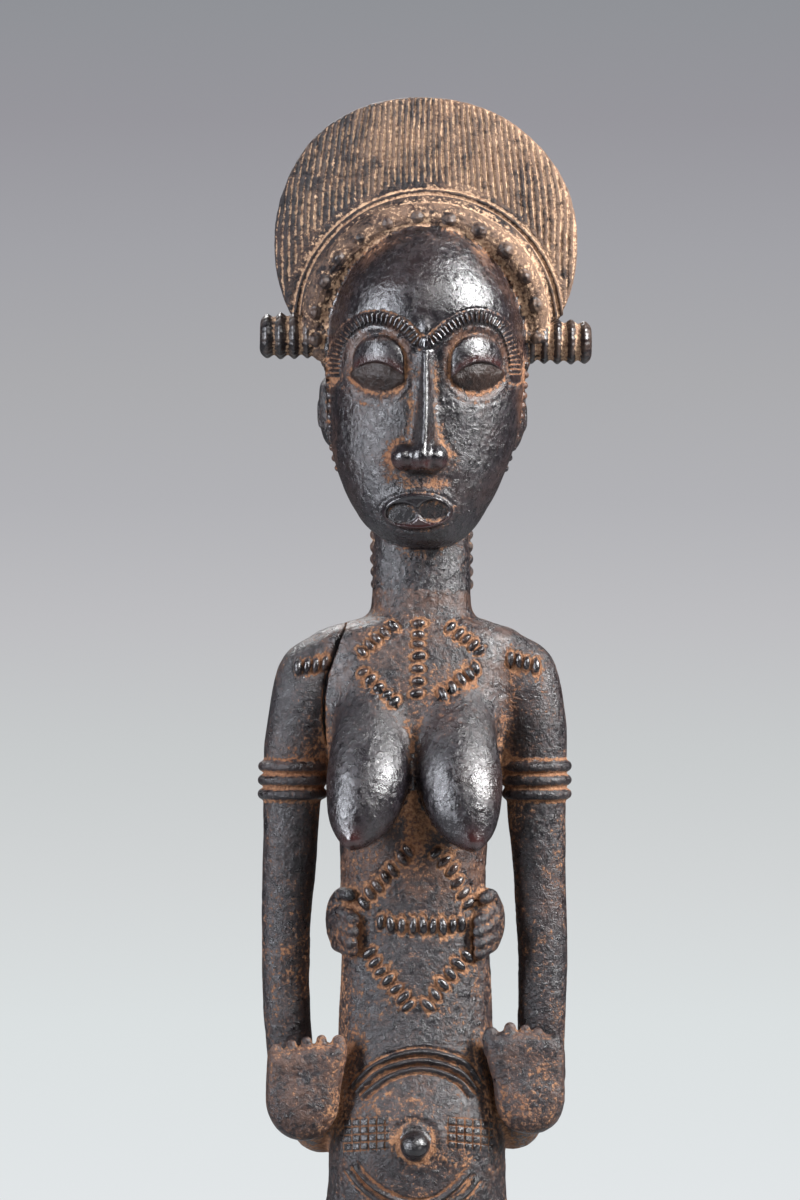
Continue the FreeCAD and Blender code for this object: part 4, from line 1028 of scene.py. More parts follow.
def do_rest(k):
    x, y, z = k.x, k.y, k.z
    # hands have polished the parts that stand out
    def shine(mask, amount):
        k.gloss[mask] = np.maximum(k.gloss[mask], amount if np.isscalar(amount) else amount[mask])
    breast = np.isin(k.who, ["left_breast", "right_breast"])
    shine(breast & (y < -12), 0.62 * sstep(322, 302, z))
    for bx, bz in ((-20.9, 281.4), (18.0, 281.0)):
        r = np.hypot(k.xf - bx, k.zf - bz)
        tip = breast & (y < -25)
        k.worn[tip] = np.maximum(k.worn[tip], (gauss(r, 4.2) * 0.95)[tip])
        k.gloss[tip] = np.maximum(k.gloss[tip], (gauss(r, 4.5))[tip])
        k.out[tip] += (0.9 * gauss(r, 2.4))[tip]
    face = (k.who == "head") & (y < -5)
    shine(face & (z > 427), 0.70 * sstep(430, 437, z) * sstep(478, 462, z))
    shine(face & (z < 400), 0.45 * sstep(402, 392, z))
    shine(face & (np.abs(x - HX) > 17) & (z < 425), 0.5 * sstep(17, 23, np.abs(x - HX)))
    shine((k.who == "chest") & (y < 0) & (z > 322) & (np.abs(x) > 16), 0.35 * sstep(16, 24, np.abs(x)))
    shine(k.who == "neck", 0.2)
    def dusty(mask, amount):
        k.dust[mask] = np.maximum(k.dust[mask], amount[mask])
    dusty(np.isin(k.who, ["abdomen", "hips"]), 0.05 * sstep(236, 205, z) + 0.03 + 0.25 * np.clip(noise(x, y, z, 16.0, 61), 0, 1))
    upper = np.isin(k.who, ["chest", "abdomen"]) & (y < 6)
    dusty(upper, 0.85 * gauss(k.xf - 0.5, 6.0) * sstep(320, 305, z) * sstep(262, 285, z))
    dusty(upper, 0.6 * gauss((z - 274) / 14, 1.0))
    warm = upper & (np.abs(k.xf) < 9)
    k.crust[warm] = np.maximum(k.crust[warm], (0.48 * gauss(k.xf - 0.5, 5.0) * sstep(322, 305, z) * sstep(262, 280, z))[warm])
    warm = upper & (x > 14) & (z > 300)
    k.crust[warm] = np.maximum(k.crust[warm], (0.26 * gauss(x - 25, 4.0) * sstep(296, 306, z) * sstep(330, 316, z))[warm])
    dusty(upper, 0.40 * sstep(320, 330, z))
    dusty(upper & (np.abs(x) > 17), 0.3 * gauss(np.abs(np.abs(x) - 24.5), 4.0) * sstep(345, 300, z))
    dusty(np.isin(k.who, ["hair_cap", "right_hair_tuft", "left_hair_tuft", "right_nape_braid", "left_nape_braid"]), 0.35 + 0 * z)
    dusty(k.who == "plinth", 0.45 + 0 * z)
    dusty(np.isin(k.who, ["right_foot", "left_foot"]), 0.55 * sstep(45, 28, z))
    inner = np.isin(k.who, ["left_lower_arm", "left_upper_arm"])
    spots = np.clip(0.45 + 0.7 * noise(x, y, z, 9.0, 62), 0, 1.1)
    k.crust[inner] = np.maximum(k.crust[inner], (0.40 * sstep(3, -7, x - 39) * spots * sstep(318, 300, z))[inner])
    inner = np.isin(k.who, ["right_lower_arm", "right_upper_arm"])
    k.crust[inner] = np.maximum(k.crust[inner], ((0.22 * sstep(-3, -8, x + 41) + 0.25 * sstep(3, 8, x + 41)) * spots * sstep(320, 300, z))[inner])
    legs_ = np.isin(k.who, ["right_child_leg", "left_child_leg"])
    k.crust[legs_] = np.maximum(k.crust[legs_], (0.55 * sstep(194, 187, z) * sstep(24, 12, y))[legs_])
    k.crust[np.isin(k.who, ["right_child_hand", "left_child_hand"])] += 0.24
    flank = np.isin(k.who, ["abdomen", "hips"]) & (y < 14) & (z > 186) & (z < 226)
    k.crust[flank] = np.maximum(k.crust[flank], (0.34 * sstep(17, 22, np.abs(x)) * spots)[flank])
    edge = (k.who == "head") & (y > -24) & (z > 392) & (z < 446)
    dusty(edge, 0.62 * sstep(26.0, 30.5, np.abs(x - HX)) * sstep(447, 436, z) * sstep(391, 402, z) * np.clip(0.6 + 0.8 * noise(x, y, z, 7.0, 65), 0, 1.2))
    c_ = np.nonzero(np.isin(k.who, ["neck"]) & (z < 362))[0]
    k.dust[c_] = np.maximum(k.dust[c_], 0.5)
    soles = np.isin(k.who, ["right_child_foot", "left_child_foot"])
    dusty(soles, 0.30 + 0.2 * (x < 0))
    k.crust[soles & (x > 0)] *= 0.7
    shine((k.who == "head") & (y < -20) & (z > 384) & (z < 427), 0.30)
    sole = np.isin(k.who, ["right_child_foot", "left_child_foot"]) & (y < -12)
    drift = np.clip(0.28 + 0.85 * noise(x, y, z, 13.0, 63) + 0.40 * noise(x, y, z, 4.5, 64), 0, 1)
    wide = np.isin(k.who, ["abdomen", "hips", "chest", "neck", "right_child_foot", "left_child_foot", "right_leg", "left_leg", "child_torso", "child_head",
                           "right_child_leg", "left_child_leg", "right_child_arm", "left_child_arm", "right_lower_arm", "left_lower_arm", "right_forearm", "left_forearm"])
    k.crust[wide] = np.maximum(k.crust[wide], (0.36 * drift)[wide])
    low = np.isin(k.who, ["right_leg", "left_leg"])
    k.crust[low] *= 0.78
    upper_arm = np.isin(k.who, ["right_upper_arm", "left_upper_arm", "right_hand", "left_hand", "right_foot", "left_foot"])
    k.crust[upper_arm] = np.maximum(k.crust[upper_arm], (0.26 * drift)[upper_arm])
    back = (y > 6) & np.isin(k.who, ["abdomen", "hips", "chest", "neck", "head", "right_upper_arm", "left_upper_arm"])
    k.crust[back] = np.maximum(k.crust[back], (0.40 * drift)[back])
    # uneven hand carving everywhere
    soft = 0.22 * noise(x, y, z, 15.0, 31) + 0.09 * noise(x, y, z, 5.5, 32)
    k.out += soft * np.where(np.isin(k.who, ["coiffure_crest", "hairline_band"]), 0.4, 1.0)
    # crackled patina: strongest on the trunk, almost none on the polished parts
    rough = sstep(-0.35, 0.5, noise(x, y, z, 26.0, 33) + 0.5 * noise(x, y, z, 9.0, 34)) * (1 - np.clip(k.gloss, 0, 1))
    trunk = np.isin(k.who, ["abdomen", "chest", "left_breast", "right_breast", "hips", "neck"])
    amp = np.where(trunk, 0.17, 0.10) * (0.35 + 0.65 * rough) * (1 - 0.7 * np.clip(k.gloss, 0, 1))
    wr = noise(x + 1.2 * noise(x, y, z, 3.0, 35), y, z, 1.35, 36)
    k.out += amp * wr
    k.crust = np.maximum(k.crust, 0)
    # armlets: crust between the rings
    for s in (-1, 1):
        j = np.nonzero(np.isin(k.who, [nm(s, "armlet"), nm(s, "upper_arm"), nm(s, "lower_arm")]) & (np.abs(z - 301) < 10))[0]
        v = np.zeros(len(j))
        for zc in (307.7, 303.1, 298.6, 294.2):
            v = np.maximum(v, gauss(z[j] - zc, 0.55))
        k.crust[j] = np.maximum(k.crust[j], (0.85 if s > 0 else 0.55) * v)
    # the spine and the hollow of the back
    j = np.nonzero((y > 8) & (z > 175) & (z < 350) & trunk)[0]
    k.out[j] -= 1.5 * gauss(x[j], 3.0) * sstep(176, 200, z[j]) * sstep(350, 335, z[j])
    # parting below the spine
    j = np.nonzero((y > 12) & (z > 128) & (z < 176) & (k.who == "hips"))[0]
    k.out[j] -= 2.6 * gauss(x[j], 2.0) * sstep(178, 160, z[j])
    # raised marks down the nape and on the shoulder blades
    for cx, zs in ((1.6, (366, 361, 356)), (0.0, (346, 340.5, 335))):
        for zc in zs:
            j = np.nonzero((y > 10) & (np.abs(x - cx) < 6) & (np.abs(z - zc) < 4))[0]
            r = np.hypot((x[j] - cx) / 2.5, (z[j] - zc) / 1.5)
            k.out[j] += 0.95 * np.clip(1 - r * r, 0, 1) ** 0.6 - 0.3 * gauss(r - 1.3, 0.25)
            k.crust[j] = np.maximum(k.crust[j], 0.8 * gauss(r - 1.3, 0.3))
    for s in (-1, 1):
        for i in range(4):
            cx, zc = s * (10.5 + 4.2 * i), 333 - 2.4 * i
            j = np.nonzero((y > 8) & (np.abs(x - cx) < 5) & (np.abs(z - zc) < 6) & (k.who == "chest"))[0]
            r = np.hypot((x[j] - cx) / 1.35, (z[j] - zc) / 2.6)
            k.out[j] += 0.95 * np.clip(1 - r * r, 0, 1) ** 0.6 - 0.3 * gauss(r - 1.3, 0.25)
            k.crust[j] = np.maximum(k.crust[j], 0.8 * gauss(r - 1.3, 0.3))
    # plinth: cut with an adze
    j = np.nonzero(k.who == "plinth")[0]
    ang = np.arctan2(y[j], x[j])
    side = sstep(45, 52, np.hypot(x[j], y[j]))
    fac = np.abs(((ang / (2 * np.pi) * 46 + 0.35 * noise(x[j], y[j], z[j], 18.0, 41)) % 1) - 0.5) * 2
    k.out[j] += side * (0.5 * fac ** 2 - 0.2) + (1 - side) * 0.35 * noise(x[j] * 1.0, y[j] * 0.4, z[j], 7.0, 42)
    k.out[j] += 0.12 * noise(x[j], y[j], z[j] * 0.5, 2.2, 43)
    k.crust[j] = np.maximum(k.crust[j], 0.45 * gauss(z[j] - 13, 1.3) * side + 0.35 * sstep(0.75, 1, fac) * side)
    k.crust[j] = np.maximum(k.crust[j], 0.5 * sstep(40, 25, z[j]) * gauss(z[j] - 27.4, 1.6))
    # four cracks across the top: carved, and painted dark along the groove, painted shade inside the cracks
    for a0, wid in ((0.62, 0.5), (2.5, 0.45), (-1.35, 0.35), (-2.4, 0.4)):
        rad = np.hypot(x[j], y[j])
        da = (ang - a0 - 0.02 * np.sin(rad * 0.35)) * rad
        c = gauss(da, wid) * sstep(18, 40, rad)
        k.out[j] -= 1.3 * c
        k.dark[j] = np.maximum(k.dark[j], 1.3 * c)


# ------------------------------------------------------------------ build the surface
H = 1.25
d, lo, h = dense(H)
log("field", d.shape)
P, Q = surface_nets(d, lo, h)
del d
P, pk = project(relax(P, Q), 2)
P, pk = project(relax(P, Q, 0.35), 1)
log("base mesh", len(P), len(Q))

# which region each face belongs to
NAMES = [t[0] for t in SOLIDS]
_, who = field(*P[Q].mean(1).T.astype(F))
z = P[Q].mean(1)[:, 2]
HEAD_PARTS = ("nose", "lips", "right_brow", "left_brow", "right_eyelid", "left_eyelid")
REGIONS = sorted(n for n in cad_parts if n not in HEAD_PARTS)
REG = {n: i for i, n in enumerate(REGIONS)}
lab = np.zeros(len(Q), np.int32)
for i, n in enumerate(NAMES):
    m = who == i
    if n == "trunk":
        lab[m & (z < 170)] = REG["hips"]
        lab[m & (z >= 170) & (z < 262)] = REG["abdomen"]
        lab[m & (z >= 262) & (z < 354.6)] = REG["chest"]
        lab[m & (z >= 354.6)] = REG["neck"]
    elif n.endswith("_arm") and "child" not in n:
        lab[m & (z >= 301)] = REG[n.replace("_arm", "_upper_arm")]
        lab[m & (z < 301)] = REG[n.replace("_arm", "_lower_arm")]
    else:
        lab[m] = REG[n]


def neighbours(q):
    """Up to four neighbouring faces of each face."""
    ue, fe = edges_of(q)
    f = np.repeat(np.arange(len(q)), 4)
    e = fe.ravel()
    o = np.argsort(e, kind="stable")
    e, f = e[o], f[o]
    start = np.nonzero(np.r_[True, e[1:] != e[:-1]])[0]
    count = np.diff(np.r_[start, len(e)])
    pair = np.full((len(ue), 2), -1)
    pair[e[start], 0] = f[start]
    two = count > 1
    pair[e[start[two]], 1] = f[start[two] + 1]
    a = pair[fe]
    me = np.arange(len(q))[:, None]
    return np.where(a[:, :, 0] == me, a[:, :, 1], a[:, :, 0])


nb = neighbours(Q)
for _ in range(6):
    nl = np.concatenate([np.where(nb >= 0, lab[nb], lab[:, None]), lab[:, None]], 1)
    same = (nl[:, :, None] == nl[:, None, :]).sum(2)
    lab = nl[np.arange(len(nl)), same.argmax(1)]

P, Q, par = subdivide(P, Q)
lab = lab[par]
P = project(P, 2)[0]

# finer faces where there is small carving: the face, the hair and the raised marks
c = P[Q].mean(1)
xf, zf = flat(*c.T)
u, v = xf / 0.32 + 417, 1720 - zf / 0.32
nf = np.cross(P[Q[:, 2]] - P[Q[:, 0]], P[Q[:, 3]] - P[Q[:, 1]])
nf /= np.linalg.norm(nf, axis=1)[:, None] + 1e-9
ahead = nf[:, 1] < 0.05
fine = np.isin(lab, [REG[n] for n in ("coiffure_crest", "hairline_band", "right_hair_tuft", "left_hair_tuft")])
fine |= (lab == REG["head"]) & ahead & (c[:, 1] < -4) & (c[:, 2] > 372)
near = np.zeros(len(Q), bool)
grid = np.zeros((1300, 900), bool)
for mu, mv, la, lb, ang, hh in MARKS:
    grid[int(mv) - 13:int(mv) + 14, int(mu) - 13:int(mu) + 14] = True
for a, b, e, g in ((338, 1044, 496, 1222), (300, 616, 356, 752)):
    grid[b:g, a:e] = True
ok = (u > 0) & (u < 899) & (v > 0) & (v < 1299) & ahead & (c[:, 1] < 6)
near[ok] = grid[v[ok].astype(int), u[ok].astype(int)]
fine |= near & np.isin(lab, [REG[n] for n in ("chest", "abdomen", "hips", "neck", "right_upper_arm", "left_upper_arm", "right_breast", "left_breast", "navel")])
log("fine faces", int(fine.sum()), "of", len(Q))


def refine(p, q, fine):
    """Splits the flagged quads in four; their neighbours take the new corners on the shared edges."""
    ue, fe = edges_of(q)
    cut = np.zeros(len(ue), bool)
    cut[fe[fine].ravel()] = True
    mid = np.full(len(ue), -1)
    mid[cut] = len(p) + np.arange(cut.sum())
    cen = len(p) + cut.sum() + np.arange(fine.sum())
    np_ = np.concatenate([p, p[ue[cut]].mean(1), p[q[fine]].mean(1)])
    qf, mf = q[fine], mid[fe[fine]]
    quads = np.stack([np.stack([qf[:, i], mf[:, i], cen, mf[:, i - 1]], 1) for i in range(4)], 1).reshape(-1, 4)
    qc, mc = q[~fine], mid[fe[~fine]]
    wide = np.stack([qc[:, 0], mc[:, 0], qc[:, 1], mc[:, 1], qc[:, 2], mc[:, 2], qc[:, 3], mc[:, 3]], 1)
    allf = np.concatenate([np.concatenate([quads, np.full((len(quads), 4), -1)], 1), wide])
    parent = np.concatenate([np.repeat(np.nonzero(fine)[0], 4), np.nonzero(~fine)[0]])
    return np_, allf, parent


P, W8, par = refine(P, Q, fine)
lab = lab[par]
loops = W8.ravel()
keep = loops >= 0
face_of = np.repeat(np.arange(len(W8)), 8)[keep]
loops = loops[keep]
total = np.bincount(face_of, minlength=len(W8))
start = np.r_[0, np.cumsum(total)[:-1]]
nxt = np.arange(len(loops)) + 1
nxt[start + total - 1] = start
after = loops[nxt]
fine_v = np.zeros(len(P), bool)
fine_v[np.unique(Q[fine])] = True
fine_v[len(P) - (len(P) - Q.max() - 1):] = True


def smooth_normals(p):
    c = np.cross(p[loops], p[after])
    f = np.add.reduceat(c, start)
    n = np.stack([np.bincount(loops, f[face_of, i], len(p)) for i in range(3)], 1)
    return n / (np.linalg.norm(n, axis=1)[:, None] + 1e-12)


def mean_of_neighbours(a):
    deg = np.bincount(loops, minlength=len(P)) + np.bincount(after, minlength=len(P))
    if a.ndim == 1:
        return (np.bincount(loops, a[after], len(P)) + np.bincount(after, a[loops], len(P))) / deg
    return np.stack([mean_of_neighbours(a[:, i]) for i in range(a.shape[1])], 1)


P = project(P, 1)[0].astype(float)
N = smooth_normals(P)
VL = np.zeros(len(P), np.int32)
VL[loops] = lab[face_of]
K = Skin(P, N, np.array(REGIONS)[VL])
occ = []
for t in (1.5, 4.0, 10.0):
    o = P + N * t
    occ.append(np.clip((t - field(*o.T.astype(F))[0]) / t, 0, 1.2))
log("openness")
do_face(K)
do_marks(K)
do_hair(K)
do_rest(K)
log("relief")
SKIN = P + N * K.out[:, None] + np.array([0, -1.0, 0]) * K.front[:, None]
SKIN[:, 2] = np.clip(SKIN[:, 2], 0.02, None)
N = smooth_normals(SKIN)
lap = mean_of_neighbours(SKIN) - SKIN
size = np.sqrt(mean_of_neighbours(((SKIN - mean_of_neighbours(SKIN)) ** 2).sum(1)) + 0.02)
step = np.where(fine_v, 0.31, 0.62)
cav = (lap * N).sum(1) / (step * step)
for _ in range(3):
    cav = 0.4 * cav + 0.6 * mean_of_neighbours(cav)
wide_cav = cav.copy()
for _ in range(14):
    wide_cav = 0.3 * wide_cav + 0.7 * mean_of_neighbours(wide_cav)
log("skin", len(P), len(W8))
ATTR = {"worn": np.clip(K.worn, 0, 1), "dust": np.clip(K.dust, 0, 1), "crust": np.clip(K.crust, 0, 1), "dark": np.clip(K.dark, 0, 1.5), "gloss": np.clip(K.gloss, 0, 1),
        "groove": np.clip(cav * 1.3, 0, 1) , "ridge": np.clip(-cav * 1.3, 0, 1), "hollow": np.clip(wide_cav * 4.0, 0, 1),
        "near": np.clip(occ[0], 0, 1), "shade": np.clip(occ[1] * 0.5 + occ[2] * 0.5, 0, 1)}

# ------------------------------------------------------------------ materials
def rgb(r, g, b):
    """sRGB 0-255 to linear."""
    def one(c):
        c = c / 255.0
        return c / 12.92 if c <= 0.04045 else ((c + 0.055) / 1.055) ** 2.4
    return (one(r), one(g), one(b), 1.0)


class Nodes:
    def __init__(self, name):
        self.m = bpy.data.materials.new(name)
        self.m.use_nodes = True
        self.t = self.m.node_tree
        self.t.nodes.clear()
        self.out = self.t.nodes.new("ShaderNodeOutputMaterial")
        self.b = self.t.nodes.new("ShaderNodeBsdfPrincipled")
        self.link(self.b.outputs[0], self.out.inputs[0])
        self.co = self.t.nodes.new("ShaderNodeTexCoord").outputs["Object"]

    def link(self, a, b):
        self.t.links.new(a, b)

    def put(self, sock, v):
        if isinstance(v, (int, float)):
            sock.default_value = v
        elif isinstance(v, tuple):
            sock.default_value = v
        else:
            self.link(v, sock)

    def math(self, op, a, b=None, c=None, clamp=False):
        n = self.t.nodes.new("ShaderNodeMath")
        n.operation = op
        n.use_clamp = clamp
        for i, v in enumerate((a, b, c)):
            if v is not None:
                self.put(n.inputs[i], v)
        return n.outputs[0]

    def attr(self, name):
        n = self.t.nodes.new("ShaderNodeAttribute")
        n.attribute_name = name
        return n.outputs["Fac"]

    def noise(self, size, detail=3.0, rough=0.55, stretch=(1, 1, 1), distort=0.0, shift=(0, 0, 0)):
        """Noise with features about size mm; stretch over 1 lengthens them along that axis."""
        mp = self.t.nodes.new("ShaderNodeMapping")
        self.link(self.co, mp.inputs["Vector"])
        mp.inputs["Scale"].default_value = tuple(1000.0 / size / s for s in stretch)
        mp.inputs["Location"].default_value = shift
        n = self.t.nodes.new("ShaderNodeTexNoise")
        n.inputs["Scale"].default_value = 1.0
        n.inputs["Detail"].default_value = detail
        n.inputs["Roughness"].default_value = rough
        n.inputs["Distortion"].default_value = distort
        self.link(mp.outputs[0], n.inputs["Vector"])
        return n.outputs["Fac"]

    def cells(self, size, feature="F1", shift=(0, 0, 0), stretch=(1, 1, 1)):
        mp = self.t.nodes.new("ShaderNodeMapping")
        self.link(self.co, mp.inputs["Vector"])
        mp.inputs["Scale"].default_value = tuple(1000.0 / size / s for s in stretch)
        mp.inputs["Location"].default_value = shift
        n = self.t.nodes.new("ShaderNodeTexVoronoi")
        n.feature = feature
        n.inputs["Scale"].default_value = 1.0
        self.link(mp.outputs[0], n.inputs["Vector"])
        return n.outputs["Distance"]

    def span(self, v, a, b, lo=0.0, hi=1.0, smooth=True):
        n = self.t.nodes.new("ShaderNodeMapRange")
        n.interpolation_type = "SMOOTHSTEP" if smooth else "LINEAR"
        self.link(v, n.inputs["Value"])
        for k, x in (("From Min", a), ("From Max", b), ("To Min", lo), ("To Max", hi)):
            n.inputs[k].default_value = x
        return n.outputs["Result"]

    def mix(self, f, a, b):
        n = self.t.nodes.new("ShaderNodeMix")
        n.data_type = "RGBA"
        self.put(n.inputs[0], f)
        self.put(n.inputs[6], a)
        self.put(n.inputs[7], b)
        return n.outputs[2]

    def bump(self, height, strength, mm, before=None):
        n = self.t.nodes.new("ShaderNodeBump")
        n.inputs["Strength"].default_value = strength
        n.inputs["Distance"].default_value = mm / 1000.0
        self.link(height, n.inputs["Height"])
        if before is not None:
            self.link(before, n.inputs["Normal"])
        return n.outputs[0]


def wood(name, crusty=0.0, dry=0.0, rough=0.35, brown=0.0, pale=0.0, wrinkle=1.0, spec=0.52):
    """Dark handled wood with a shiny patina, and a dry ochre crust where hands don't reach."""
    k = Nodes(name)
    A = k.attr
    M = k.math
    big = k.noise(26, 3, 0.6)
    mid = k.noise(6.0, 4, 0.60, distort=0.4)
    crackle = k.noise(2.3, 5, 0.68, distort=0.8, shift=(2, 9, 4))
    grain = k.noise(1.05, 4, 0.62)
    speck = k.noise(0.50, 3, 0.6, shift=(3, 1, 7))
    fibre = k.noise(0.60, 3, 0.6, stretch=(1, 1, 16))
    # wood colour
    base = k.mix(k.span(crackle, 0.35, 0.68), rgb(14, 12, 15), rgb(31, 27, 31))
    base = k.mix(M("MULTIPLY", k.span(big, 0.46, 0.72), 0.35 + brown, clamp=True), base, rgb(50, 33, 29))
    base = k.mix(k.span(fibre, 0.56, 0.8, 0, 0.25), base, rgb(66, 46, 40))
    base = k.mix(k.span(speck, 0.60, 0.76, 0, 0.30), base, rgb(84, 72, 66))
    base = k.mix(M("MULTIPLY", A("dark"), 0.75, clamp=True), base, rgb(10, 8, 9))
    base = k.mix(M("MULTIPLY", A("worn"), 0.75, clamp=True), base, rgb(52, 22, 20))
    # a thin brown bloom that follows the broad regions
    soft = M("MULTIPLY_ADD", mid, 1.1, M("MULTIPLY_ADD", crackle, 0.9, M("MULTIPLY", grain, 0.5)))
    bloom = M("MULTIPLY", M("MULTIPLY", A("dust"), M("SUBTRACT", 1.0, M("MULTIPLY", A("dark"), 0.8), clamp=True)), k.span(M("ADD", soft, M("MULTIPLY", A("dust"), 0.30)), 1.18, 1.58))
    base = k.mix(M("MULTIPLY", bloom, 0.80, clamp=True), base, rgb(98 + 20 * pale, 68 + 24 * pale, 51 + 24 * pale))
    # where the crust lies
    c = M("MULTIPLY", A("crust"), 0.78)
    c = M("ADD", c, M("MULTIPLY", A("groove"), 0.34))
    c = M("ADD", c, M("MULTIPLY", A("hollow"), 0.34))
    c = M("ADD", c, M("MULTIPLY", A("near"), 0.30))
    c = M("ADD", c, M("MULTIPLY", A("shade"), 0.12))
    c = M("ADD", c, M("MULTIPLY", A("dust"), 0.10))
    c = M("SUBTRACT", c, M("MULTIPLY", A("gloss"), 0.45))
    c = M("SUBTRACT", c, M("MULTIPLY", A("dark"), 0.40))
    c = M("SUBTRACT", c, M("MULTIPLY", A("ridge"), 0.45))
    c = M("SUBTRACT", c, M("MULTIPLY", M("MAXIMUM", M("SUBTRACT", A("dark"), 0.9), 0.0), 4.0))
    c = M("ADD", c, crusty)
    n = M("MULTIPLY_ADD", crackle, 1.40, M("MULTIPLY", grain, 1.45))
    n = M("MULTIPLY_ADD", big, 0.50, n)
    n = M("MULTIPLY_ADD", mid, 0.60, n)
    cm = M("ADD", c, M("SUBTRACT", n, 1.975))
    mask = k.span(cm, 0.24, 0.56)
    thin = k.span(cm, -0.05, 0.45)
    crust = k.mix(k.span(grain, 0.35, 0.65), rgb(90 + 26 * pale, 60 + 26 * pale, 44 + 25 * pale), rgb(150 + 32 * pale, 110 + 38 * pale, 81 + 38 * pale))
    crust = k.mix(k.span(speck, 0.50, 0.70, 0, 0.50), crust, rgb(184 + 14 * pale, 148 + 22 * pale, 114 + 26 * pale))
    crust = k.mix(k.span(big, 0.42, 0.7, 0, 0.5 - 0.3 * pale), crust, rgb(124, 80, 55))
    col = k.mix(M("MULTIPLY", thin, 0.34), base, rgb(74, 48, 38))
    col = k.mix(M("MULTIPLY", mask, 0.85), col, crust)
    k.put(k.b.inputs["Base Color"], col)
    # gloss
    r = M("MULTIPLY_ADD", M("SUBTRACT", mid, 0.5), 0.30, rough)
    r = M("MULTIPLY_ADD", M("SUBTRACT", crackle, 0.5), 0.60, r)
    r = M("SUBTRACT", r, M("MULTIPLY", A("gloss"), 0.17))
    r = M("ADD", r, M("MULTIPLY", A("dust"), 0.06))
    r = M("ADD", r, M("MULTIPLY", thin, 0.10 + dry))
    r = M("ADD", r, M("MULTIPLY", mask, 0.34))
    r = M("MAXIMUM", M("MINIMUM", r, 0.92), 0.17)
    k.put(k.b.inputs["Roughness"], r)
    k.put(k.b.inputs["Specular IOR Level"], M("MULTIPLY", M("MULTIPLY_ADD", A("gloss"), 0.34, spec), M("SUBTRACT", 1.0, M("MULTIPLY", M("MAXIMUM", mask, M("MULTIPLY", A("dust"), 0.8)), 0.6))))
    # surface
    quiet = M("SUBTRACT", 1.0, M("MULTIPLY", A("gloss"), 0.84))
    h = M("MULTIPLY", M("MULTIPLY_ADD", crackle, -1.8, M("MULTIPLY", grain, -0.9)), quiet)
    h = M("MULTIPLY_ADD", fibre, 0.22, h)
    h = M("ADD", h, M("MULTIPLY", mask, M("MULTIPLY_ADD", speck, 0.9, 0.35)))
    b1 = k.bump(h, 1.0 * wrinkle, 0.36)
    lump = k.noise(3.4, 3, 0.55, distort=0.5, shift=(5, 2, 8))
    b2 = k.bump(M("MULTIPLY", M("MULTIPLY_ADD", mid, 1.2, lump), M("SUBTRACT", 1.0, M("MULTIPLY", A("gloss"), 0.72))), 0.72 * wrinkle, 0.55, b1)
    k.put(k.b.inputs["Normal"], b2)
    return k.m


MATS = {"polished_wood": wood("polished_wood_look"),
        "crusted_wood": wood("crusted_wood_look", crusty=0.03, dry=0.06, rough=0.50, brown=0.45, pale=1.4, spec=0.30),
        "plinth_wood": wood("plinth_wood_look", crusty=0.0, dry=0.06, rough=0.44, brown=0.2)}
SLOT = {n: "crusted_wood" for n in REGIONS if n in ("coiffure_crest", "hair_cap", "hairline_band") or "tuft" in n or "braid" in n}
SLOT["plinth"] = "plinth_wood"

# ------------------------------------------------------------------ divide into named pieces
root = bpy.context.scene.collection


def piece(name, i):
    faces = np.nonzero(lab == i)[0]
    lp = np.isin(face_of, faces) if len(faces) < 50 else (lab[face_of] == i)
    idx = np.nonzero(lp)[0]
    lv, la = loops[idx], after[idx]
    tot = total[faces]
    used, inv = np.unique(lv, return_inverse=True)
    # open edges: a directed edge with no opposite
    key = lv.astype(np.int64) * len(P) + la
    rev = la.astype(np.int64) * len(P) + lv
    open_ = ~np.isin(key, rev)
    a, b = la[open_], lv[open_]          # cap edges run the other way
    succ = {}
    for s_, e_ in zip(a.tolist(), b.tolist()):
        succ.setdefault(s_, []).append(e_)
    ring = []
    while succ:
        s0 = next(iter(succ))
        cur, chain = s0, []
        while cur in succ:
            chain.append(cur)
            n_ = succ[cur].pop()
            if not succ[cur]:
                del succ[cur]
            cur = n_
            if cur == s0:
                break
        if len(chain) > 2:
            ring.append(chain)
    co = [SKIN[used]]
    nr = [N[used]]
    src = [used]
    fl = [inv.astype(np.int64)]
    ft = [tot]
    off = len(used)
    for chain in ring:
        c_ = np.array(chain)
        mid = SKIN[c_].mean(0)
        m = len(c_)
        co += [SKIN[c_], mid[None]]
        q = np.arange(m)
        tri = np.stack([off + q, off + (q + 1) % m, np.full(m, off + m)], 1)
        pts = np.concatenate([SKIN[c_], mid[None]])
        nn = np.cross(pts[tri[:, 1] - off] - pts[tri[:, 0] - off], pts[tri[:, 2] - off] - pts[tri[:, 0] - off]).sum(0)
        nn = nn / (np.linalg.norm(nn) + 1e-9)
        nr.append(np.repeat(nn[None], m + 1, 0))
        src += [c_, c_[:1]]
        fl.append(tri.ravel())
        ft.append(np.full(m, 3))
        off += m + 1
    co, nr, src = np.concatenate(co) / 1000.0, np.concatenate(nr), np.concatenate(src)
    fl, ft = np.concatenate(fl), np.concatenate(ft)
    me = bpy.data.meshes.new(name)
    me.vertices.add(len(co))
    me.vertices.foreach_set("co", co.astype(F).ravel())
    me.loops.add(len(fl))
    me.loops.foreach_set("vertex_index", fl.astype(np.int32))
    me.polygons.add(len(ft))
    me.polygons.foreach_set("loop_start", np.r_[0, np.cumsum(ft)[:-1]].astype(np.int32))
    me.polygons.foreach_set("loop_total", ft.astype(np.int32))
    me.update(calc_edges=True)
    me.shade_smooth()
    for key_, arr in ATTR.items():
        at = me.attributes.new(key_, "FLOAT", "POINT")
        at.data.foreach_set("value", arr[src].astype(F))
    me.normals_split_custom_set_from_vertices(nr.astype(F))
    ob = bpy.data.objects.new(name, me)
    root.objects.link(ob)
    return ob


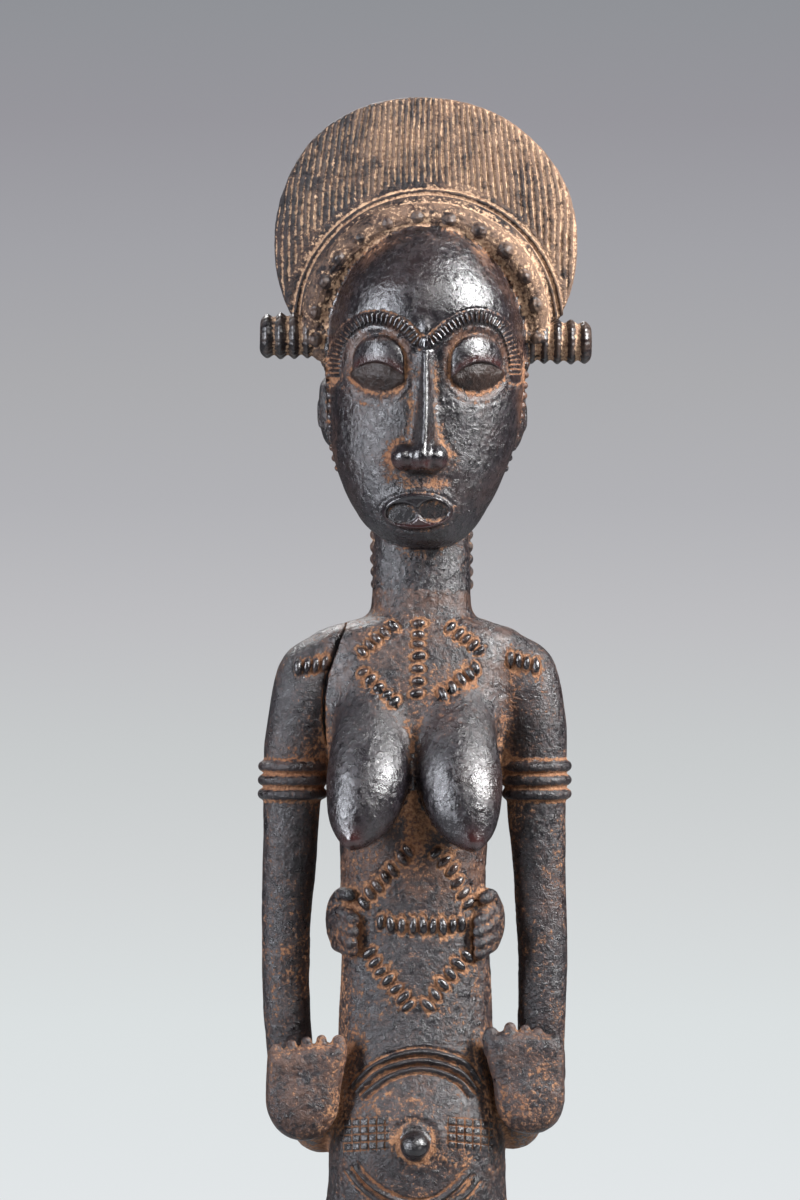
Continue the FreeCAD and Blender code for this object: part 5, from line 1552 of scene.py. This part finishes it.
for i, n in enumerate(REGIONS):
    ob = piece("carved_" + n, i)
    slot = SLOT.get(n, "polished_wood")
    ob.data.materials.append(MATS[slot])
    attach(ob, "root")
    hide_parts(n, *(HEAD_PARTS if n == "head" else ()))
log("pieces")

# ------------------------------------------------------------------ floor, backdrop, lights, camera
def disc(name, r0, rings, seg):
    vs = [(0.0, 0.0, 0.0)]
    fs = []
    for i in range(1, rings + 1):
        r = r0 * (i / rings) ** 1.4
        for j in range(seg):
            t = 2 * math.pi * j / seg
            vs.append((r * math.cos(t), r * math.sin(t), 0.0))
    for j in range(seg):
        fs.append((0, 1 + j, 1 + (j + 1) % seg))
    for i in range(rings - 1):
        for j in range(seg):
            a, b = 1 + i * seg + j, 1 + i * seg + (j + 1) % seg
            fs.append((a, a + seg, b + seg, b))
    me = bpy.data.meshes.new(name)
    me.from_pydata(vs, [], fs)
    ob = bpy.data.objects.new(name, me)
    root.objects.link(ob)
    return ob


floor = disc("studio_floor", 1.3, 16, 96)
k = Nodes("pale_paper")
k.put(k.b.inputs["Base Color"], k.mix(k.noise(60, 3, 0.5), rgb(124, 126, 128), rgb(129, 131, 133)))
k.b.inputs["Roughness"].default_value = 0.8
k.b.inputs["Specular IOR Level"].default_value = 0.2
sep = k.t.nodes.new("ShaderNodeSeparateXYZ")
k.link(k.co, sep.inputs[0])
rad = k.math("SQRT", k.math("ADD", k.math("MULTIPLY", sep.outputs[0], sep.outputs[0]), k.math("MULTIPLY", sep.outputs[1], sep.outputs[1])))
k.put(k.b.inputs["Alpha"], k.span(rad, 0.45, 1.25, 1.0, 0.0))
floor.data.materials.append(k.m)

scene = bpy.context.scene
w = bpy.data.worlds.new("studio")
scene.world = w
w.use_nodes = True
t = w.node_tree
t.nodes.clear()
wo = t.nodes.new("ShaderNodeOutputWorld")
bg = t.nodes.new("ShaderNodeBackground")
t.links.new(bg.outputs[0], wo.inputs[0])
# the backdrop the camera sees is painted light: a gradient from grey above to pale below, the fall of light on a studio
# backdrop; only camera rays see it
tc = t.nodes.new("ShaderNodeTexCoord")
sx = t.nodes.new("ShaderNodeSeparateXYZ")
t.links.new(tc.outputs["Generated"], sx.inputs[0])
mr = t.nodes.new("ShaderNodeMath")
mr.operation = "MULTIPLY_ADD"
mr.inputs[1].default_value = 4.0
mr.inputs[2].default_value = 0.5
t.links.new(sx.outputs[2], mr.inputs[0])
ramp = t.nodes.new("ShaderNodeValToRGB")
t.links.new(mr.outputs[0], ramp.inputs[0])
t.links.new(ramp.outputs[0], bg.inputs[0])
stops = [(0, (144, 146, 151)), (120, (151, 150, 156)), (250, (162, 162, 167)), (380, (171, 171, 174)), (500, (178, 178, 182)), (620, (190, 190, 193)),
         (750, (200, 203, 204)), (880, (210, 213, 214)), (1020, (219, 224, 225)), (1200, (226, 230, 232))]
cr = ramp.color_ramp
cr.interpolation = "EASE"
while len(cr.elements) > 1:
    cr.elements.remove(cr.elements[-1])
first = True
for v_, col in sorted(((0.5 + 4.0 * (600 - v) * 0.32 / 1800, c_) for v, c_ in stops)):
    e = cr.elements[0] if first else cr.elements.new(v_)
    e.position = v_
    e.color = rgb(*col)
    first = False
cr.interpolation = "LINEAR"
bg.inputs[1].default_value = 1.0
# the object itself is lit by a dimmer room, pale below and in front
room = t.nodes.new("ShaderNodeBackground")
up = t.nodes.new("ShaderNodeValToRGB")
t.links.new(mr.outputs[0], up.inputs[0])
mr2 = t.nodes.new("ShaderNodeMath")
mr2.operation = "MULTIPLY_ADD"
mr2.inputs[1].default_value = 0.5
mr2.inputs[2].default_value = 0.5
t.links.new(sx.outputs[2], mr2.inputs[0])
t.links.new(mr2.outputs[0], up.inputs[0])
for q_, (v_, g_) in enumerate(((0.0, 0.15), (0.40, 0.13), (0.52, 0.04), (0.70, 0.06), (1.0, 0.18))):
    e = up.color_ramp.elements[q_] if q_ < 2 else up.color_ramp.elements.new(v_)
    e.position = v_
    e.color = (g_, g_, g_ * 1.03, 1)
t.links.new(up.outputs[0], room.inputs[0])
room.inputs[1].default_value = 1.0
lp = t.nodes.new("ShaderNodeLightPath")
pick = t.nodes.new("ShaderNodeMixShader")
t.links.new(lp.outputs["Is Camera Ray"], pick.inputs[0])
t.links.new(room.outputs[0], pick.inputs[1])
t.links.new(bg.outputs[0], pick.inputs[2])
t.links.new(pick.outputs[0], wo.inputs[0])
scene.view_settings.view_transform = "Standard"
scene.view_settings.look = "None"


def soft(name, loc, aim, w_, h_, power, tint=(1, 1, 1)):
    l = bpy.data.lights.new(name, "AREA")
    l.shape = "RECTANGLE"
    l.size, l.size_y, l.energy, l.color = w_, h_, power, tint
    o = bpy.data.objects.new(name, l)
    root.objects.link(o)
    o.location = loc
    o.rotation_euler = (Vector(aim) - Vector(loc)).to_track_quat("-Z", "Y").to_euler()
    return o


soft("key_softbox", (1.16, -0.44, 1.10), (0, 0, 0.36), 0.26, 0.80, 76)
soft("fill_left", (-1.22, -0.60, 0.60), (0, 0, 0.36), 0.36, 0.95, 34, (0.95, 0.98, 1.06))
soft("front_high", (0.40, -1.15, 1.25), (0, 0, 0.36), 0.40, 0.30, 10)
soft("top_back", (-0.25, 0.85, 1.25), (0, 0, 0.42), 0.7, 0.4, 16)

cam = bpy.data.cameras.new("camera")
co_ = bpy.data.objects.new("camera", cam)
root.objects.link(co_)
scene.camera = co_
co_.location = tuple(CAM / 1000.0)
co_.rotation_euler = (math.radians(90), 0, 0)
cam.sensor_width = 36
cam.lens = 36 * 1800 / 384
cam.clip_start = 0.05
cam.clip_end = 50
cam.dof.use_dof = False

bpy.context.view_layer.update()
log("done")
